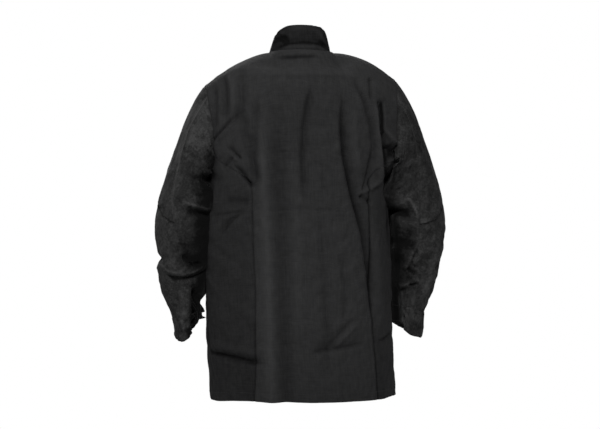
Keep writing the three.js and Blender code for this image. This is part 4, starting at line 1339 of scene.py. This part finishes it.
keep_front = np.ones((LOWER_ROWS + YOKE_ROWS, SIDE_CELLS + FRONT_CELLS), bool)
keep_front[LOWER_ROWS:, :SIDE_CELLS] = False
lower = np.s_[: LOWER_ROWS + 1, :]
under = np.s_[: LOWER_ROWS + 1, : SIDE_CELLS + 1]
yoke = np.s_[LOWER_ROWS:, SIDE_CELLS:]
whole = np.s_[:, SIDE_CELLS:]
side_seam = (np.s_[: LOWER_ROWS + 1, 0], np.s_[: LOWER_ROWS + 1, 1])
shoulder_seam = (np.s_[-1, SIDE_CELLS:NECK_START], np.s_[-2, SIDE_CELLS:NECK_START])
shown_fronts = {}
for word, side in SIDES.items():
    points = fronts[word]
    normals = grid_normals(points, keep_front) * -side
    relief = np.zeros(points.shape[:2])
    relief[lower] += edge_dip(distance_from(points[lower], "start")) * seam_pull(points[lower])
    relief[lower] += turn_raise(distance_from(points[lower], "bottom"), HEM_WIDTH, HEM_RAISE)
    for part, edge in ((under, "top"), (yoke, "start"), (whole, "top")):
        relief[part] += edge_dip(distance_from(points[part], edge))
    shown = points + normals * relief[..., None]
    for seam, inside in (side_seam, shoulder_seam):
        shown = tucked(shown, normals, seam, inside, TUCK_REACH, TUCK_DEPTH - SEAM_DEPTH)
    shown_fronts[word] = (shown, normals)
    wear_and_painted_shading = fronts_wear_and_painted_shading[word].copy()
    in_seam = seam_line(distance_from(points[lower], "start")) * seam_shows(points[lower])
    wear_and_painted_shading[lower] += SEAM_TONE[word] * in_seam
    behind = smooth(points[..., 1], -FOLD_START_Y, FOLD_START_Y)
    # Painted shade on the side panels behind the arms
    wear_and_painted_shading += column_at(SIDE_PAINTED_SHADE, "z", points[..., 2], word) * behind
    name = f"front_{word}"
    piece = wall(name, shown, normals, COTTON_WALL, cotton, wear_and_painted_shading, side == LEFT, keep_front)
    fix_piece(piece, f"front_panel_{word}")
    rows = sewn(shown[lower], normals[lower], ("bottom", HEM_INSET), ("start", SEAM_INSET))
    rows += sewn(shown[yoke], normals[yoke], ("start", SEAM_INSET), ("start", TURN_INSET))
    rows += sewn(shown[whole], normals[whole], ("top", NECK_INSET))
    if side == LEFT:
        rows += sewn(shown[whole], normals[whole], ("end", EDGE_INSET), ("end", 2 * LAP))
    fix_piece(stitches(f"{name}_stitches", rows, cotton_thread))

# Piece of the collar
collar_points = collar_surface(back, fronts["left"], fronts["right"])
collar_normals = -grid_normals(collar_points)
creases = on_back(collar_points, COLLAR_FOLDS)
collar_points = collar_points + collar_normals * creases[..., None]
collar_normals = -grid_normals(collar_points)
# The collar is darker overall, with painted shade in its creases and light and shade painted on its back
wear_and_painted_shading = COLLAR_TONE + creases / WEAR_AND_SHADING_HEIGHT + on_back(collar_points, COLLAR_PAINTED_SHADING)
collar_piece = wall("stand_collar", collar_points, collar_normals, COLLAR_WALL, cotton, wear_and_painted_shading, True)
fix_piece(collar_piece, "collar")
collar_edges = [(edge, EDGE_INSET) for edge in ("top", "bottom", "start", "end")]
collar_rows = sewn(collar_points, collar_normals, *collar_edges)
fix_piece(stitches("collar_stitches", collar_rows, cotton_thread))

# Pieces of the sleeves
for word, side in SIDES.items():
    ring = armhole_ring(side, back, fronts[word])
    surface = sleeve_surface(side, ring)
    normals = ring_normals(side, surface)
    creases = on_arm(side, surface, ARM_FOLDS, *FOLD_FADE) * smooth(arm_places, 0, ARM_FOLD_FREE)
    surface = surface + normals * creases[..., None]
    normals = ring_normals(side, surface)
    # Light and shade painted on the sleeve
    painted_arm_shading = on_arm(side, surface, ARM_PAINTED_SHADING, *TONE_FADE)
    surface = tucked(surface, normals, 0, 1, TUCK_REACH, TUCK_DEPTH)
    wrist = column_angle(side, ring_places, WRIST_SECTION)
    depth = CUFF_TUCK_DEPTH - cuff_lift(cuff_share(wrist), 0)
    surface = tucked(surface, normals, -1, -2, CUFF_TUCK_REACH, depth[:, None])
    # Sleeve seams are paler from rubbing and a painted highlight, less of both down the arm
    rub_and_highlight_fade = 1 - SEAM_RUB_AND_HIGHLIGHT_FALL * smooth(arm_places, *SEAM_RUB_AND_HIGHLIGHT_ROWS)
    elbow_row = SLEEVE_ROWS * ELBOW_SECTION // WRIST_SECTION
    front_seam, back_seam = FRONT_SEAM_COLUMN * PER_RING, BACK_SEAM_COLUMN * PER_RING
    outer_columns = np.arange(front_seam, RING_CELLS + back_seam + 1) % RING_CELLS
    under_columns = np.arange(back_seam, front_seam + 1)
    parts = {
        "upper": (slice(0, elbow_row + 1), outer_columns),
        "lower": (slice(elbow_row, SLEEVE_ROWS + 1), outer_columns),
        "under": (slice(0, SLEEVE_ROWS + 1), under_columns),
    }
    for part, (rows_of, columns_of) in parts.items():
        points = surface[rows_of][:, columns_of]
        facing = normals[rows_of][:, columns_of]
        run = np.minimum(distance_from(points, "start"), distance_from(points, "end"))
        elbow = distance_from(points, "top" if part == "upper" else "bottom")
        elbow = elbow if part != "under" else np.full(run.shape, np.inf)
        shown = points + facing * edge_dip(np.minimum(run, elbow))[..., None]
        name = f"{part}_arm_{word}"
        # Paler seams from rubbing and a painted highlight, and a darker elbow seam
        rub_and_highlight = SEAM_RUB_AND_HIGHLIGHT[word] * bell(run, SEAM_RUB_AND_HIGHLIGHT_REACH[word]) * rub_and_highlight_fade[rows_of]
        tones = painted_arm_shading[rows_of][:, columns_of] + rub_and_highlight + ELBOW_TONE * seam_line(elbow)
        piece = wall(name, shown, facing, LEATHER_WALL, suede, tones, side == LEFT)
        fix_piece(piece, f"{part}_sleeve_{word}")
        rows = []
        if part != "under":
            rows += sewn(shown, facing, ("end", SEAM_INSET), ("end", TURN_INSET), ("start", SEAM_INSET))
        if part == "upper":
            rows += sewn(shown, facing, ("top", SEAM_INSET), ("top", TURN_INSET))
        if rows:
            fix_piece(stitches(f"{name}_stitches", rows, leather_thread))
    points = cuff_surface(side)
    facing = grid_normals(points) * -side
    points = points + facing * on_arm(side, points, ARM_FOLDS, *FOLD_FADE)[..., None]
    facing = grid_normals(points) * -side
    # Light and shade painted on the cuff
    tones = on_arm(side, points, ARM_PAINTED_SHADING, *TONE_FADE)
    piece = wall(f"wrist_band_{word}", points, facing, LEATHER_WALL, suede, tones, side == LEFT)
    fix_piece(piece, f"cuff_{word}")
    rows = sewn(points, facing, *((edge, EDGE_INSET) for edge in ("bottom", "top", "end")))
    fix_piece(stitches(f"wrist_band_{word}_stitches", rows, leather_thread))


# Pieces of the snaps

def snap_profile():
    """Radius and height of a domed cap with a rolled rim and a shallow ring."""
    turn = np.linspace(0, np.pi / 2, SNAP_DOME_STEPS)[1:-1]
    rim = [(SNAP_RADIUS + inset, height) for inset, height in SNAP_RIM_LINE]
    ring = (SNAP_RADIUS * SNAP_RING, SNAP_RIM + SNAP_RING_RISE)
    dome_radius = SNAP_RADIUS * SNAP_SHOULDER * np.cos(turn)
    dome = zip(dome_radius, SNAP_RIM + (SNAP_HEIGHT - SNAP_RIM) * np.sin(turn))
    return np.array([(SNAP_TIP, 0), *rim, ring, *dome, (SNAP_TIP, SNAP_HEIGHT)])


def snap_cap(name, point, normal):
    profile = snap_profile()
    turn = np.linspace(0, 2 * np.pi, SNAP_SIDES, endpoint=False)
    radius, height = profile[:, :1], profile[:, 1:] * np.ones(SNAP_SIDES)
    vertices = np.stack([radius * np.cos(turn), radius * np.sin(turn), height], -1).reshape(-1, 3)
    ring = np.arange(SNAP_SIDES)
    after = (ring + 1) % SNAP_SIDES
    quads = []
    for level in range(len(profile) - 1):
        low, high = level * SNAP_SIDES, (level + 1) * SNAP_SIDES
        quads.append(np.stack([low + ring, low + after, high + after, high + ring], -1))
    turn_to = np.array(Vector((0, 0, 1)).rotation_difference(Vector(normal)).to_matrix())
    vertices = vertices @ turn_to.T + point + normal * SNAP_CLEARANCE
    return fill_mesh(name, vertices, [np.concatenate(quads)], lacquer)


shown, normals = shown_fronts["left"]
for number, level in enumerate(SNAP_LEVELS, 1):
    row = int(np.argmin(np.abs(shown[:, SNAP_COLUMN, 2] - level)))
    cap = snap_cap(f"snap_cap_{number}", shown[row, SNAP_COLUMN], normals[row, SNAP_COLUMN])
    fix_piece(cap, f"front_snap_{number}")


# Stage

def aimed(thing, location, target):
    thing.location = location
    thing.rotation_mode = "QUATERNION"
    thing.rotation_quaternion = (Vector(target) - Vector(location)).to_track_quat("-Z", "Y")
    bpy.context.scene.collection.objects.link(thing)


CAMERA_PLACE = (0.474, 2.6885, -0.351)
CAMERA_TARGET = (0.0, 0.0, -0.351)
CAMERA_LENS = 71.2
CAMERA_SENSOR = 36.0
lens = bpy.data.cameras.new("camera")
lens.lens = CAMERA_LENS
lens.sensor_width = CAMERA_SENSOR
camera = bpy.data.objects.new("camera", lens)
aimed(camera, CAMERA_PLACE, CAMERA_TARGET)
bpy.context.scene.camera = camera

LIGHT_TARGET = (0.0, 0.0, -0.35)
LIGHTS = table(
    "name place size power",
    ("key", (0.2, 2.7, 1.7), 0.9, 66.0),
    ("fill", (2.6, 1.6, 0.2), 1.6, 12.0),
    ("top", (0.0, 0.3, 2.2), 1.2, 6.0),
    ("front", (0.1, -2.6, 1.75), 1.2, 60.0),
)
for row in LIGHTS:
    lamp = bpy.data.lights.new(row["name"], "AREA")
    lamp.shape = "DISK"
    lamp.size = row["size"]
    lamp.energy = row["power"]
    aimed(bpy.data.objects.new(row["name"], lamp), row["place"], LIGHT_TARGET)

# A white studio ground, with less light from it than the lamps give
AMBIENT = 0.1
WHITE = (1.0, 1.0, 1.0, 1.0)
world = bpy.data.worlds.new("studio")
world.use_nodes = True
sky = world.node_tree
ambient = sky.nodes["Background"]
fill_sockets(sky, ambient, {"Color": WHITE, "Strength": AMBIENT})
ground = add_node(sky, "ShaderNodeBackground", {"Color": WHITE, "Strength": 1.0})
seen = add_node(sky, "ShaderNodeMixShader", {
    "Fac": add_node(sky, "ShaderNodeLightPath", {}).outputs["Is Camera Ray"],
    1: ambient.outputs["Background"],
    2: ground.outputs["Background"],
})
fill_sockets(sky, sky.nodes["World Output"], {"Surface": seen.outputs["Shader"]})
bpy.context.scene.world = world
bpy.context.scene.view_settings.view_transform = "Standard"

FLOOR_Z = -1300
FLOOR_RADIUS = 1500
FLOOR_SIDES = 96
floor_material, floor_tree, floor_shader = new_material("pale_floor")
fill_sockets(floor_tree, floor_shader, {"Base Color": (0.9, 0.9, 0.9, 1.0), "Roughness": 0.8})
turn = np.linspace(0, 2 * np.pi, FLOOR_SIDES, endpoint=False)
height = np.full(FLOOR_SIDES, FLOOR_Z)
rim = np.stack([FLOOR_RADIUS * np.cos(turn), FLOOR_RADIUS * np.sin(turn), height], -1)
floor = fill_mesh("floor", rim, [np.arange(FLOOR_SIDES)[None, :]], floor_material)
